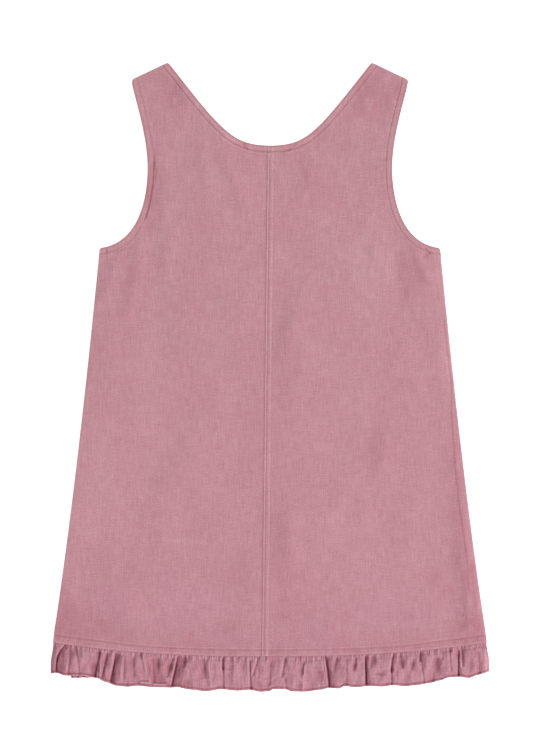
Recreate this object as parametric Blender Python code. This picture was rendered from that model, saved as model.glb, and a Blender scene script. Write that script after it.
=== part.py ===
"""Child's sleeveless pinafore dress, laid flat on its front so that the back faces up.

Front and back share one flared outline with two shoulder straps. The back is two halves that lap at the
centre, and a gathered ruffle hangs from the hem, one strip under the back and one under the front.
Metres; +Y runs to the shoulders, +X to the right with the back up, +Z up. The origin is on the surface
that the dress lies on, under the middle of its box.
"""

import math

import bmesh
import bpy
from mathutils import Vector
from mathutils.geometry import interpolate_bezier

# Driving dimensions
LENGTH = 0.6000              # top of the shoulder to the ruffle's lower edge
CHEST = 0.3252               # across, from underarm to underarm
HEM_WIDTH = 0.4144           # across, along the seam that holds the ruffle
RUFFLE_WIDTH = 0.4186        # across, at the ruffle's lower edge
NECK_WIDTH = 0.1944          # between the straps, at the shoulder
NECK_DROP = 0.0787           # from the top of the shoulder to the bottom of the neck
ARMHOLE_DROP = 0.1765        # from the top of the shoulder to the underarm
ACROSS_BACK = 0.2338         # between the armholes at their narrowest
SHOULDER_RUN = 0.0350        # shoulder seam, measured across
SHOULDER_FALL = 0.0157       # shoulder seam, measured down
RUFFLE_DROP = 0.0335         # depth of the ruffle at the centre
HEM_BOW = 0.0133             # how far the hem rises from the centre to the side seams

# Cloth and sewing
CLOTH = 0.0010               # wall of every piece
SEAM_GAP = 0.0003            # between pieces that are sewn together
BAND = 0.0061                # turned edge at the neck and armholes, up to its row of stitches
HEM_BAND = 0.0067            # seam allowance that is stitched up above the ruffle
STEP = 0.0010                # run of the small step beside a row of stitches
TURNED = 0.0004              # how far a turned edge stands above the single cloth
CORNER = 0.0026              # radius that the shoulder's corners are turned to
LAP_OVER = 0.0024            # the right half's folded edge, past the centre, at the neck
LAP_UNDER = 0.0050           # the left half's edge beneath it, past the centre, at the neck
LAP_LEAN = 0.0056            # both edges lean towards -X by this on their way to the hem
LAP_FLAT = 0.0080            # the right half is level on the lap out to here
LAP_END = 0.0200             # and down on the front again from here
TUCK = 0.0050                # ruffle hidden inside the hem

# Heights of the layers, from the surface up
UNDERSIDE = CLOTH + SEAM_GAP                     # of the back, over the front
LAP_RISE = CLOTH + TURNED + SEAM_GAP             # of the right half, over the left
FRONT_TUCK = CLOTH + SEAM_GAP                    # of the front ruffle inside the hem
GATHER = 0.0005                                  # small gathers at the seam
SLOPED = 0.0002                                  # their sloping walls measure this much more upright
BACK_TUCK = FRONT_TUCK + CLOTH + SEAM_GAP + SLOPED   # of the back ruffle inside the hem
HEM_UNDERSIDE = BACK_TUCK + CLOTH + GATHER + SEAM_GAP
HEM_SLOPE = 0.0450                               # the back climbs to that height over this length
WALL_LIMIT = 1.5                                 # most that a sloping wall measures upright, in cloths

# Outline of one half, x from the centre and y from the middle of the length
TOP = LENGTH / 2
CORNER_CUT = CORNER * (1.0 - math.sqrt(0.5))     # a turned corner loses this along each edge
NECK_CORNER = (NECK_WIDTH / 2, TOP + 1.18 * CORNER_CUT)
NECK_HANDLES = ((0.0416, TOP - 0.0703), (0.0346, TOP - NECK_DROP))
NECK_LOW = TOP - NECK_DROP
ARM_CORNER = (NECK_WIDTH / 2 + SHOULDER_RUN, TOP - SHOULDER_FALL)
ARM_WAIST = (ACROSS_BACK / 2, TOP - 0.1000)
ARM_UPPER_HANDLES = ((ACROSS_BACK / 2 + 0.0148, TOP - 0.0270), (ACROSS_BACK / 2, TOP - 0.0660))
UNDERARM = (CHEST / 2, TOP - ARMHOLE_DROP)
ARM_LOWER_HANDLES = ((ACROSS_BACK / 2, TOP - 0.1160), (CHEST / 2 - 0.0429, TOP - ARMHOLE_DROP + 0.0046))
HEM_LOW = -TOP + RUFFLE_DROP
HEM_CORNER = (HEM_WIDTH / 2, HEM_LOW + HEM_BOW)
HEM_POWER = 2.4
SIDE_HANDLES = ((0.1748, 0.0000), (0.1885, -0.1250))
SIDE_SLOPE = 0.12                                # of the side seam at the hem, run over rise
CENTRE_AT_UNDERARM = 0.1500                      # the row from the underarm meets the centre here

# Rows and columns of the panels' walls
NECK_ROWS = 10
ARM_ROWS = 6
SIDE_ROWS = 9
SIDE_CROWDING = 1.6          # rows stand closer towards the hem
SIDE_SAMPLES = 200           # points that those rows are picked from
SAG_GROWTH = 1.5             # the rows take up the hem's bow slowly at first
EDGE_COLUMNS = (0.0, BAND - STEP / 2, BAND + STEP / 2)   # in from each edge
MIDDLE_COLUMNS = (0.035, 0.09, 0.27, 0.45, 0.63, 0.82)  # shares of the way between them

# Soft folds in the back: from and to, in metres; half width and height
SWELLS = (
    # x0, y0, x1, y1, half width, height
    (-0.138, 0.118, -0.118, 0.020, 0.016, 0.0012),
    (-0.112, 0.100, -0.085, 0.030, 0.014, 0.0007),
    (0.142, 0.116, 0.150, 0.020, 0.016, 0.0012),
    (0.186, -0.165, 0.192, -0.245, 0.010, 0.0012),
    (0.060, -0.150, 0.085, -0.235, 0.018, 0.0006),
    (-0.186, -0.190, -0.170, -0.240, 0.012, 0.0008),
)

# Creases of the ruffle: x at the seam, x at the lower edge, depth as a share of the deepest
CREASES = (
    # seam, lower edge, depth
    (-0.1949, -0.2040, 1.00),
    (-0.1845, -0.1830, 0.35),
    (-0.1612, -0.1680, 1.00),
    (-0.1543, -0.1570, 0.70),
    (-0.1443, -0.1508, 1.00),
    (-0.1232, -0.1142, 0.50),
    (-0.1114, -0.1080, 0.60),
    (-0.0936, -0.0998, 0.60),
    (-0.0871, -0.0924, 1.00),
    (-0.0764, -0.0812, 0.35),
    (-0.0621, -0.0673, 0.45),
    (-0.0454, -0.0443, 1.00),
    (-0.0339, -0.0350, 0.35),
    (-0.0198, -0.0183, 0.90),
    (-0.0067, -0.0120, 0.40),
    (0.0143, 0.0153, 0.60),
    (0.0301, 0.0248, 0.60),
    (0.0540, 0.0564, 0.95),
    (0.0721, 0.0713, 0.60),
    (0.0908, 0.0917, 0.85),
    (0.1165, 0.1156, 1.00),
    (0.1300, 0.1309, 0.35),
    (0.1433, 0.1471, 0.90),
    (0.1586, 0.1562, 0.50),
    (0.1710, 0.1739, 0.50),
    (0.1815, 0.1796, 1.00),
    (0.2011, 0.2006, 0.50),
)

# Rows of the ruffle, down from the seam, with the shares of crest and crease reached there
RUFFLE_ROWS = (
    # below the seam as a share of the drop, crest, crease, gather
    (-TUCK / RUFFLE_DROP, 0.00, 0.00, 0.00),
    (0.020, 0.00, 0.00, 1.00),
    (0.220, 0.80, 0.60, 0.70),
    (0.470, 1.00, 0.90, 0.25),
    (0.740, 1.00, 1.00, 0.00),
    (1.000, 0.94, 1.00, 0.00),
)
RUFFLE_STEPS = (0.0, 0.12, 0.30, 0.50, 0.70, 0.88)   # columns between two creases
GATHER_STEPS = (0.0, 1.0, 1.0, 0.0, 1.0, 1.0)        # two small gathers between two creases
CREASE_REACH = 0.0060                                # a crease's slope on each side
BACK_CREASE = 0.0024                                 # deepest crease, back ruffle
FRONT_CREASE = 0.0018                                # and front ruffle, which opens upwards
BACK_CREST = 0.0075                                  # highest face of the back ruffle
SCALLOP = 0.0010                                     # lower edge drawn up at a crease
END_DROP = 0.0035                                    # the ruffle is shorter at the side seams by this
FLARE = 0.70                                         # it is at its widest from this share of its drop

CLOTH_COLOUR = (0.539, 0.266, 0.303, 1.0)


def smooth(value):
    """0 to 1 with level ends."""
    t = min(1.0, max(0.0, value))
    return t * t * (3.0 - 2.0 * t)


def curve(start, handles, end, spans):
    """Points along one cubic, both ends included."""
    knots = [Vector((x, y, 0.0)) for x, y in (start, *handles, end)]
    return [point.to_2d() for point in interpolate_bezier(*knots, spans + 1)]


def straight(start, end, spans):
    a, b = Vector(start), Vector(end)
    return [a.lerp(b, i / spans) for i in range(spans + 1)]


def hem_line(x):
    """Height on the plan of the seam that holds the ruffle."""
    return HEM_LOW + HEM_BOW * (abs(x) / (HEM_WIDTH / 2)) ** HEM_POWER


def leaning(y):
    """How far the lap has gone towards -X at this height."""
    return LAP_LEAN * (NECK_LOW - y) / (NECK_LOW - HEM_LOW)


def centre_edge(lap, lean, y):
    """Point of a half's centre edge; lean is 1 for the right half, -1 for the left and 0 for the front."""
    return Vector((-lap - lean * leaning(y), y))


def hem_ends(lap, lean, above):
    """Where the line at one height above the hem's seam meets the centre and the side."""
    at_side = Vector((HEM_CORNER[0] - SIDE_SLOPE * above, HEM_CORNER[1] + above))
    return centre_edge(lap, lean, hem_line(lap) + above), at_side


def half_edges(lap, lean):
    """The inner and the outer edge of one half, row by row from the shoulder to the hem."""
    neck = curve(NECK_CORNER, NECK_HANDLES, (-lap, NECK_LOW), NECK_ROWS)
    arm_upper = curve(ARM_CORNER, ARM_UPPER_HANDLES, ARM_WAIST, NECK_ROWS)
    centre_bend = centre_edge(lap, lean, CENTRE_AT_UNDERARM)
    centre_upper = straight((-lap, NECK_LOW), centre_bend, ARM_ROWS)
    arm_lower = curve(ARM_WAIST, ARM_LOWER_HANDLES, UNDERARM, ARM_ROWS)
    strip_centre, strip_corner = hem_ends(lap, lean, HEM_BAND + STEP / 2)
    shares = [1.0 - (1.0 - k / SIDE_ROWS) ** SIDE_CROWDING for k in range(SIDE_ROWS + 1)]
    side_curve = curve(UNDERARM, SIDE_HANDLES, strip_corner, SIDE_SAMPLES)
    side = [side_curve[round(share * SIDE_SAMPLES)] for share in shares]
    centre = [centre_bend.lerp(strip_centre, share) for share in shares]
    inner = neck + centre_upper[1:] + centre[1:]
    outer = arm_upper + arm_lower[1:] + side[1:]
    for above in (HEM_BAND - STEP / 2, 0.0):
        at_centre, at_side = hem_ends(lap, lean, above)
        inner.append(at_centre)
        outer.append(at_side)
    return inner, outer


def inward(edge, row, side):
    """Mitred direction from an edge into the cloth, where side is +1 for the inner edge."""
    before = (edge[row] - edge[row - 1]).normalized()
    after = (edge[row + 1] - edge[row]).normalized()
    normals = [Vector((-d.y, d.x)) * side for d in (before, after)]
    return (normals[0] + normals[1]) / (1.0 + normals[0].dot(normals[1]))


def half_plan(lap, lean):
    """Rows of plan points for one half, each with the height that a turned edge adds there."""
    inner, outer = half_edges(lap, lean)
    neck_bottom, underarm, strip = NECK_ROWS, NECK_ROWS + ARM_ROWS, len(inner) - 2
    grid = []
    for row, (a, b) in enumerate(zip(inner, outer)):
        if 0 < row < strip - 1:
            from_inner, from_outer = inward(inner, row, 1), inward(outer, row, -1)
        else:
            from_inner = (b - a).normalized() if row == 0 else Vector((1.0, 0.0))
            from_outer = -from_inner
        left = [a + from_inner * reach for reach in EDGE_COLUMNS]
        right = [b + from_outer * reach for reach in reversed(EDGE_COLUMNS)]
        middle = [left[-1].lerp(right[0], share) for share in MIDDLE_COLUMNS]
        share = max(0.0, (row - underarm) / (strip - 1 - underarm))
        sag = min(1.0, share) ** SAG_GROWTH
        points = []
        for point in left + middle + right:
            if row > underarm:
                chord = HEM_LOW + HEM_BOW * max(0.0, point.x) / (HEM_WIDTH / 2)
                point = point + Vector((0.0, (hem_line(point.x) - chord) * sag))
            points.append(point)
        lifts = [0.0] * len(points)
        if row <= neck_bottom:
            lifts[0] = lifts[1] = TURNED
        if row <= underarm:
            lifts[-1] = lifts[-2] = TURNED
        if row >= strip:
            lifts = [TURNED] * len(points)
        grid.append(list(zip(points, lifts)))
    turn_corner(grid, column=0, inwards=1)
    turn_corner(grid, column=-1, inwards=-1)
    return grid


def turn_corner(grid, column, inwards):
    """Draws a square corner of the shoulder in, along both its edges."""
    point, lift = grid[0][column]
    along = (grid[0][column + inwards][0] - point).normalized()
    down = (grid[1][column][0] - point).normalized()
    grid[0][column] = (point + (along + down) * CORNER_CUT, lift)


def swell(x, y):
    """Height of the soft folds in the back at one point."""
    total = 0.0
    for x0, y0, x1, y1, half_width, height in SWELLS:
        a, b, p = Vector((x0, y0)), Vector((x1, y1)), Vector((x, y))
        share = min(1.0, max(0.0, (p - a).dot(b - a) / (b - a).length_squared))
        away = (p - a.lerp(b, share)).length
        total += height * math.sin(math.pi * (0.15 + 0.7 * share)) * smooth(1.0 - away / (2.0 * half_width))
    return total


def back_underside(x, y):
    """Height of the back's underside: on the front, and up over the ruffles' tops at the hem."""
    above_hem = y - hem_line(x) - HEM_BAND - STEP
    climb = (HEM_UNDERSIDE - UNDERSIDE) * smooth(1.0 - above_hem / HEM_SLOPE)
    return UNDERSIDE + climb + swell(x, y) * smooth(above_hem / HEM_SLOPE * 2)


def right_underside(x, y):
    """As the back's, and up over the left half where the two lap."""
    return back_underside(x, y) + LAP_RISE * smooth((LAP_END - x - leaning(y)) / (LAP_END - LAP_FLAT))


def front_underside(x, y):
    return 0.0


def material(name):
    cloth = bpy.data.materials.new(name)
    cloth.use_nodes = True
    shader = cloth.node_tree.nodes["Principled BSDF"]
    shader.inputs["Base Color"].default_value = CLOTH_COLOUR
    shader.inputs["Roughness"].default_value = 0.9
    shader.inputs["Metallic"].default_value = 0.0
    shader.inputs["Sheen Weight"].default_value = 0.25
    return cloth


def add_piece(name, mesh):
    """A named object from a closed bmesh, with its own material and smooth cloth."""
    bmesh.ops.recalc_face_normals(mesh, faces=mesh.faces[:])
    data = bpy.data.meshes.new(name)
    mesh.to_mesh(data)
    mesh.free()
    data.shade_smooth()
    data.set_sharp_from_angle(angle=math.radians(50))
    data.materials.append(material(name + "_cloth"))
    piece = bpy.data.objects.new(name, data)
    bpy.context.scene.collection.objects.link(piece)
    return piece


def grid_of(columns, rows):
    """A flat grid, the layer that numbers its vertices, and the vertices by row, top row first."""
    mesh = bmesh.new()
    number = mesh.verts.layers.int.new("number")
    bmesh.ops.create_grid(mesh, x_segments=columns - 1, y_segments=rows - 1, size=1.0)
    ordered = sorted(mesh.verts, key=lambda v: (-round(v.co.y, 6), v.co.x))
    for index, vertex in enumerate(ordered):
        vertex[number] = index
    return mesh, number, [ordered[r * columns:(r + 1) * columns] for r in range(rows)]


def lift_off(mesh):
    """Closes an open sheet into a wall, and returns the vertices of its upper face."""
    made = bmesh.ops.extrude_face_region(mesh, geom=mesh.faces[:])["geom"]
    return [v for v in made if isinstance(v, bmesh.types.BMVert)]


def panel(name, lap, lean, underside, side=1, both_halves=False):
    """A panel's wall, from one half's plan; side is -1 for the half at -X."""
    plan = half_plan(lap, lean)
    mesh, number, rows = grid_of(len(plan[0]), len(plan))
    turned = [lift for points in plan for _, lift in points]
    for vertices, points in zip(rows, plan):
        for vertex, (point, _) in zip(vertices, points):
            vertex.co = (point.x * side, point.y, 0.0)
    if both_halves:
        bmesh.ops.mirror(mesh, geom=mesh.verts[:] + mesh.edges[:] + mesh.faces[:], axis="X", merge_dist=0.00005)
    upper = lift_off(mesh)
    for vertex in mesh.verts:
        vertex.co.z = underside(vertex.co.x, vertex.co.y)
    for vertex in upper:
        vertex.co.z += CLOTH + (0.0 if both_halves else turned[vertex[number]])
    return add_piece(name, mesh)


def ruffle_columns(creases, share):
    """x, crease depth and gather of each column at one row, share being 0 at the seam and 1 at the edge."""
    end = HEM_WIDTH / 2 - 0.0002 + (RUFFLE_WIDTH - HEM_WIDTH) / 2 * smooth(share / FLARE)
    if share < 0.0:
        end -= 0.0012
    at = [(-end, 1.0)]
    at += [(top + (foot - top) * max(0.0, share), depth) for top, foot, depth in creases]
    at += [(end, 1.0)]
    columns = []
    for (x0, deep0), (x1, deep1) in zip(at, at[1:]):
        reach = min(CREASE_REACH, (x1 - x0) / 2)
        for step, gather in zip(RUFFLE_STEPS, GATHER_STEPS):
            x = x0 + (x1 - x0) * step
            depth = deep0 * smooth(1.0 - (x - x0) / reach) + deep1 * smooth(1.0 - (x1 - x) / reach)
            columns.append((x, depth, gather))
    columns.append((end, 1.0, 0.0))
    return columns


def upright(heights, places):
    """Upright measure of a cloth's wall at each column, from the slope beside it."""
    slopes = [0.0] + [abs(b - a) / (q - p) for a, b, p, q in zip(heights, heights[1:], places, places[1:])] + [0.0]
    return [CLOTH * min(WALL_LIMIT, math.sqrt(1.0 + max(pair) ** 2)) for pair in zip(slopes, slopes[1:])]


def ruffle(name, creases, facing_up):
    """A gathered strip: the back's has its creases sunk from above, the front's from below."""
    columns = len(creases) * len(RUFFLE_STEPS) + len(RUFFLE_STEPS) + 1
    mesh, number, rows = grid_of(columns, len(RUFFLE_ROWS))
    high = []
    for vertices, (share, crest, crease, gathered) in zip(rows, RUFFLE_ROWS):
        row = ruffle_columns(creases, share)
        places = [x for x, _, _ in row]
        if facing_up:
            tops = [
                BACK_TUCK + CLOTH + (BACK_CREST - BACK_TUCK - CLOTH) * crest
                + GATHER * gathered * gather - BACK_CREASE * crease * depth
                for _, depth, gather in row
            ]
            walls = upright(tops, places)
            faces = [(top - wall, top) for top, wall in zip(tops, walls)]
        else:
            floor = FRONT_TUCK * (1.0 - min(1.0, crest / 0.80))
            soles = [floor + FRONT_CREASE * crease * depth for _, depth, _ in row]
            walls = upright(soles, places)
            faces = [(sole, sole + wall) for sole, wall in zip(soles, walls)]
        for vertex, (x, depth, _), (sole, top) in zip(vertices, row, faces):
            drop = RUFFLE_DROP - END_DROP * (abs(x) / (HEM_WIDTH / 2)) ** 4 - SCALLOP * depth
            y = hem_line(min(abs(x), HEM_WIDTH / 2)) - drop * share
            vertex.co = (x, y, sole)
            high.append(top)
    for vertex in lift_off(mesh):
        vertex.co.z = high[vertex[number]]
    return add_piece(name, mesh)


def mirrored(creases):
    """The same creases as seen from the other side of the dress."""
    return tuple((-top, -foot, depth) for top, foot, depth in reversed(creases))


def main():
    for thing in list(bpy.data.objects):
        bpy.data.objects.remove(thing, do_unlink=True)
    panel("front", 0.0, 0, front_underside, both_halves=True)
    panel("back_left", LAP_UNDER, -1, back_underside, side=-1)
    panel("back_right", LAP_OVER, 1, right_underside)
    ruffle("ruffle_back", CREASES, facing_up=True)
    ruffle("ruffle_front", mirrored(CREASES), facing_up=False)


main()
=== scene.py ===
import math

import bmesh
import bpy
from mathutils import Matrix, Vector, kdtree, noise
from mathutils.geometry import interpolate_bezier


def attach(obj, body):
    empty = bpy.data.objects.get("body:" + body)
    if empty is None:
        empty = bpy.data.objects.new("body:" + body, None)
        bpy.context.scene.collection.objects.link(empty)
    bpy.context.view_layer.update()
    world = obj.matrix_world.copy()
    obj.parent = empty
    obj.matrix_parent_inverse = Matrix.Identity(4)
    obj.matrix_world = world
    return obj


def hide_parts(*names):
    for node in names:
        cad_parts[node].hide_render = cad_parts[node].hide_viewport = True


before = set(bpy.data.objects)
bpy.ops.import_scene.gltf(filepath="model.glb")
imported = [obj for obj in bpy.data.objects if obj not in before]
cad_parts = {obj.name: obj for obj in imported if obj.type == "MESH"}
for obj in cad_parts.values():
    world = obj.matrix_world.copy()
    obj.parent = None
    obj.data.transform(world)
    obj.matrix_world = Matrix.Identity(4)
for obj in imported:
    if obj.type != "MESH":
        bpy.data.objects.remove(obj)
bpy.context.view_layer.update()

# ---- Back, left half -------------------------------------------------------------------------------
# Washed plain-weave cotton, cut with its strap in one. The neck and armhole edges are turned in and
# topstitched, the hem's seam allowance is stitched up above the ruffle, and the centre edge lies flat
# under the right half. The side and the shoulder are sewn to the front and roll over the seam.
TOP = 0.3000                 # shoulder, from the middle of the length
NECK_WIDTH = 0.1944
NECK_DROP = 0.0787
ARMHOLE_DROP = 0.1765
CHEST = 0.3252
ACROSS_BACK = 0.2338
SHOULDER_RUN = 0.0350
SHOULDER_FALL = 0.0157
HEM_WIDTH = 0.4144
RUFFLE_DROP = 0.0335
HEM_BOW = 0.0133
HEM_POWER = 2.4
CORNER = 0.0026              # radius of the shoulder's corners
CORNER_CUT = CORNER * (1.0 - math.sqrt(0.5))
CORNER_RAISED = 1.18         # the square corner stands above the round one by this share of the cut
NECK_CORNER = (NECK_WIDTH / 2, TOP + CORNER_RAISED * CORNER_CUT)
NECK_HANDLES = ((0.0416, TOP - 0.0703), (0.0346, TOP - NECK_DROP))
NECK_LOW = TOP - NECK_DROP
ARM_CORNER = (NECK_WIDTH / 2 + SHOULDER_RUN, TOP - SHOULDER_FALL)
ARM_WAIST = (ACROSS_BACK / 2, TOP - 0.1000)
ARM_UPPER_HANDLES = ((ACROSS_BACK / 2 + 0.0148, TOP - 0.0270), (ACROSS_BACK / 2, TOP - 0.0660))
UNDERARM = (CHEST / 2, TOP - ARMHOLE_DROP)
ARM_LOWER_HANDLES = ((ACROSS_BACK / 2, TOP - 0.1160), (CHEST / 2 - 0.0429, TOP - ARMHOLE_DROP + 0.0046))
HEM_LOW = -TOP + RUFFLE_DROP
HEM_CORNER = (HEM_WIDTH / 2, HEM_LOW + HEM_BOW)
SIDE_HANDLES = ((0.1748, 0.0000), (0.1885, -0.1250))
SIDE_SLOPE = 0.12            # of the side seam at the hem, run over rise
CURVE_POINTS = 401           # on each curve of the outline
TREE_STEP = 0.0001           # between the points that distances are measured to

CLOTH = 0.00045              # one layer
TURNED = 0.00110             # an edge turned in twice
THINNEST = 0.00006           # wall at the very edge
BAND = 0.0061                # turned edge, out to its stitches
HEM_BAND = 0.0067            # allowance that is stitched up above the ruffle
HEM_BAND_MORE = 0.0012       # wider by this towards the side seams,
HEM_BAND_FROM, HEM_BAND_OVER = 0.125, 0.045    # from this far out and over this length
BACK_FACE = 0.0023           # height of the back's outer face
DEEPEST, HIGHEST = 0.0008, 0.0026    # its folds sink and rise by no more than this
HEM_RISE = 0.0022            # the back climbs by this over the gathered seam
HEM_SLOPE = 0.0450           # and over this length
CLEARANCE = 0.0003           # its inner face stays this high off the surface
LEFT_ROLL, RIGHT_ROLL = 0.0009, 0.0011    # radius of the edge that rolls over the seams
SIDE_SINK = 0.0007           # the right side sinks by this to its seam, which shows on the back,
SEAM_IN, SEAM_CLOSER = 0.0072, 0.0022     # this far in from the edge, and closer by this at the hem
FOLD_LIFT = 0.00135          # for one unit of a fold's height
CREASE_SINK = 0.00005        # for one unit of a thin crease's strength
CREASE_HALF_WIDTH, CREASE_REACH = 0.75, 2.0    # of a thin crease, in mm
LEVEL_AT_HEM, LEVEL_AT_SHOULDER = 0.030, 0.012    # the folds fade over these lengths,
LEVEL_FOLDS = 0.35           # down to this share
ARM_EDGE_SHARE = 0.55           # the armholes' edges carry this share of the neck's paler band, painted shade at the stitches and painted highlight beside them
LAP_UNDER = 0.0050           # the left half's edge, past the centre at the neck
LAP_LEAN = 0.0056            # the lap leans towards -X by this on its way to the hem
NECK_ROWS, ARM_ROWS, SIDE_ROWS = 84, 34, 140
FINE_SHARE = 0.39            # share of the neck's rows that lie close together,
FINE_FROM, FINE_TO = 0.0340, 0.0130    # between these lengths from the centre
ARM_SPLIT = 0.585            # share of the armhole that faces the neck's rows
SHOULDER_TURN, UNDERARM_TURN = 12, 10  # rows over which the bands turn square to the seams
CENTRE_AT_UNDERARM = 0.1000  # the row from the underarm meets the centre here
FLANK, SEAM_FLANK = 0.0010, 0.0002     # narrowest flank beside a band and beside the side seam,
FLANK_MORE, SIDE_FLANK_MORE = 0.0030, 0.0082    # and how much wider it gets beside each
FLANK_GROWS = 0.030          # over this length
FLANK_AT_CENTRE = 0.25       # and no wider than this share of the length to the centre
CENTRE_STEP = 0.0022         # between the rows below the neck
MIDDLE_CROWDS = 1.2          # power by which the middle columns crowd towards the side
SAG_POWER = 1.5              # power by which the rows take up the hem's bow on their way down
JOINED = 0.00001             # vertices closer than this become one
SEAM_ROWS = (0.0, 0.0002, 0.0005, 0.0009, 0.0014, 0.0020, 0.0028, 0.0040)
CENTRE_ROWS = (0.0110, 0.0090, 0.0073, 0.0060, 0.0047, 0.0035, 0.0025, 0.0016, 0.0009, 0.0004, 0.0001, 0.0)
BAND_COLUMNS = (0.0, 0.00012, 0.0003, 0.0006, 0.0010, 0.0015, 0.0021, 0.0029, 0.0038, 0.0047, 0.0054, 0.0058,
                BAND)
FLANK_COLUMNS = (0.0, 0.012, 0.03, 0.06, 0.10, 0.15, 0.20, 0.245, 0.285, 0.325, 0.38, 0.46, 0.54, 0.62, 0.69,
                 0.745, 0.79, 0.835, 0.90, 1.0)
MIDDLE_COLUMNS = 56
STRIP_ROWS = (0.0130, 0.0114, 0.0101, 0.0091, 0.0084, 0.0079, 0.0075, 0.0071, HEM_BAND, 0.0063, 0.0058,
              0.0050, 0.0040, 0.0030, 0.0021, 0.0014, 0.0009, 0.0005, 0.0002, 0.0)

# Soft folds of the body: from, to and half width in mm, and height; a minus sign sinks a trough
BODY_FOLDS = (
    # x0, y0, x1, y1, half width, height
    (-111, 216, -118, 146, 2.6, -1.2),
    (-109, 196, -115, 150, 7.0, -1.0),
    (-120, 136, -138, 52, 7.0, 0.9),
    (-144, 120, -160, 72, 6.0, 0.8),
    (-98, 140, -101, 84, 6.0, 0.5),
    (-66, 228, -57, 176, 8.0, 0.9),
    (-44, 214, -18, 150, 8.0, 0.8),
    (-92, 270, -88, 260, 9.0, -1.0),
    (103, 266, 106, 258, 9.0, -1.0),
    (-45, 84, -40, 60, 10.0, 0.9),
    (14, 216, 20, 206, 6.0, 0.7),
    (40, 200, 30, 166, 8.0, 0.8),
    (100, 135, 108, 78, 14.0, 1.5),
    (136, 128, 152, 88, 5.0, 1.3),
    (128, 134, 134, 84, 7.0, 0.8),
    (161, 40, 165, -10, 8.0, 0.9),
    (172, -60, 178, -100, 8.0, 0.8),
    (182, -126, 192, -240, 9.0, 1.1),
    (188, -190, 189, -244, 3.0, 0.9),
    (178, -246, 192, -238, 4.0, 0.8),
    (201, -214, 195, -222, 2.2, 0.6),
    (206, -236, 199, -242, 2.2, 0.6),
    (16, -118, 18, -178, 10.0, 0.9),
    (80, -115, 52, -196, 10.0, -1.0),
    (108, -58, 106, -98, 10.0, 0.9),
    (-20, -165, -24, -185, 8.0, 0.7),
    (-150, -190, -128, -244, 16.0, 1.6),
    (-196, -198, -176, -226, 6.0, 0.7),
    (-200, -196, -190, -204, 2.5, 0.5),
    (-38, -236, -30, -244, 10.0, 0.7),
    (50, -238, 62, -244, 10.0, 0.7),
    (114, 178, 96, 172, 1.8, 0.35),
    (-22, 96, -32, 40, 9.0, 0.6),
    (28, 78, 12, 20, 10.0, 1.0),
    (-70, -40, -100, -120, 14.0, 0.8),
)

# Waves of the washed cloth: width, length, seed and height in metres
WAVES = ((0.034, 0.075, 1.7, 0.00085), (0.013, 0.050, 8.3, 0.00024), (0.030, 0.011, 4.1, 0.00014))

# Broad patches where the colour is painted deeper or paler, partly painted shade and light of the cloth's
# soft folds and partly uneven dye: middle and reach in mm, and strength, with a minus sign for deeper
SHADE_AND_DYE_PATCHES = (
    # x, y, reach across, reach up, strength
    (-92, 272, 14, 16, -1.7),
    (97, 272, 16, 18, -1.9),
    (84, 257, 12, 10, -1.0),
    (126, 270, 6, 12, -1.0),
    (46, 236, 10, 8, -0.8),
    (-40, 226, 12, 8, 0.9),
    (-115, 182, 8, 30, -1.7),
    (-97, 172, 8, 26, 0.8),
    (92, 105, 15, 32, 1.8),
    (136, 105, 12, 24, -1.2),
    (126, 70, 12, 14, -0.9),
    (40, 188, 12, 22, -0.8),
    (-132, 83, 12, 35, -0.5),
    (12, 0, 14, 60, -0.5),
    (92, -35, 10, 24, 0.9),
    (126, -32, 10, 30, -0.5),
    (-115, -30, 16, 60, 0.5),
    (178, -50, 8, 20, -0.8),
    (109, -67, 16, 28, -0.7),
    (-158, -107, 34, 60, 0.6),
    (180, -125, 8, 85, -1.1),
    (13, -160, 14, 45, -1.0),
    (74, -155, 12, 34, 0.7),
    (-132, -188, 10, 24, -0.9),
    (-28, -188, 22, 18, -1.0),
    (160, -195, 16, 16, -0.8),
    (195, -195, 10, 40, -1.2),
    (22, -222, 24, 22, -0.8),
    (-38, -238, 14, 8, -1.0),
    (-166, -232, 14, 12, -0.8),
    (-200, -227, 22, 22, -1.3),
    (-160, -243, 40, 10, -0.7),
    (195, -240, 14, 14, -1.4),
)
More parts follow.
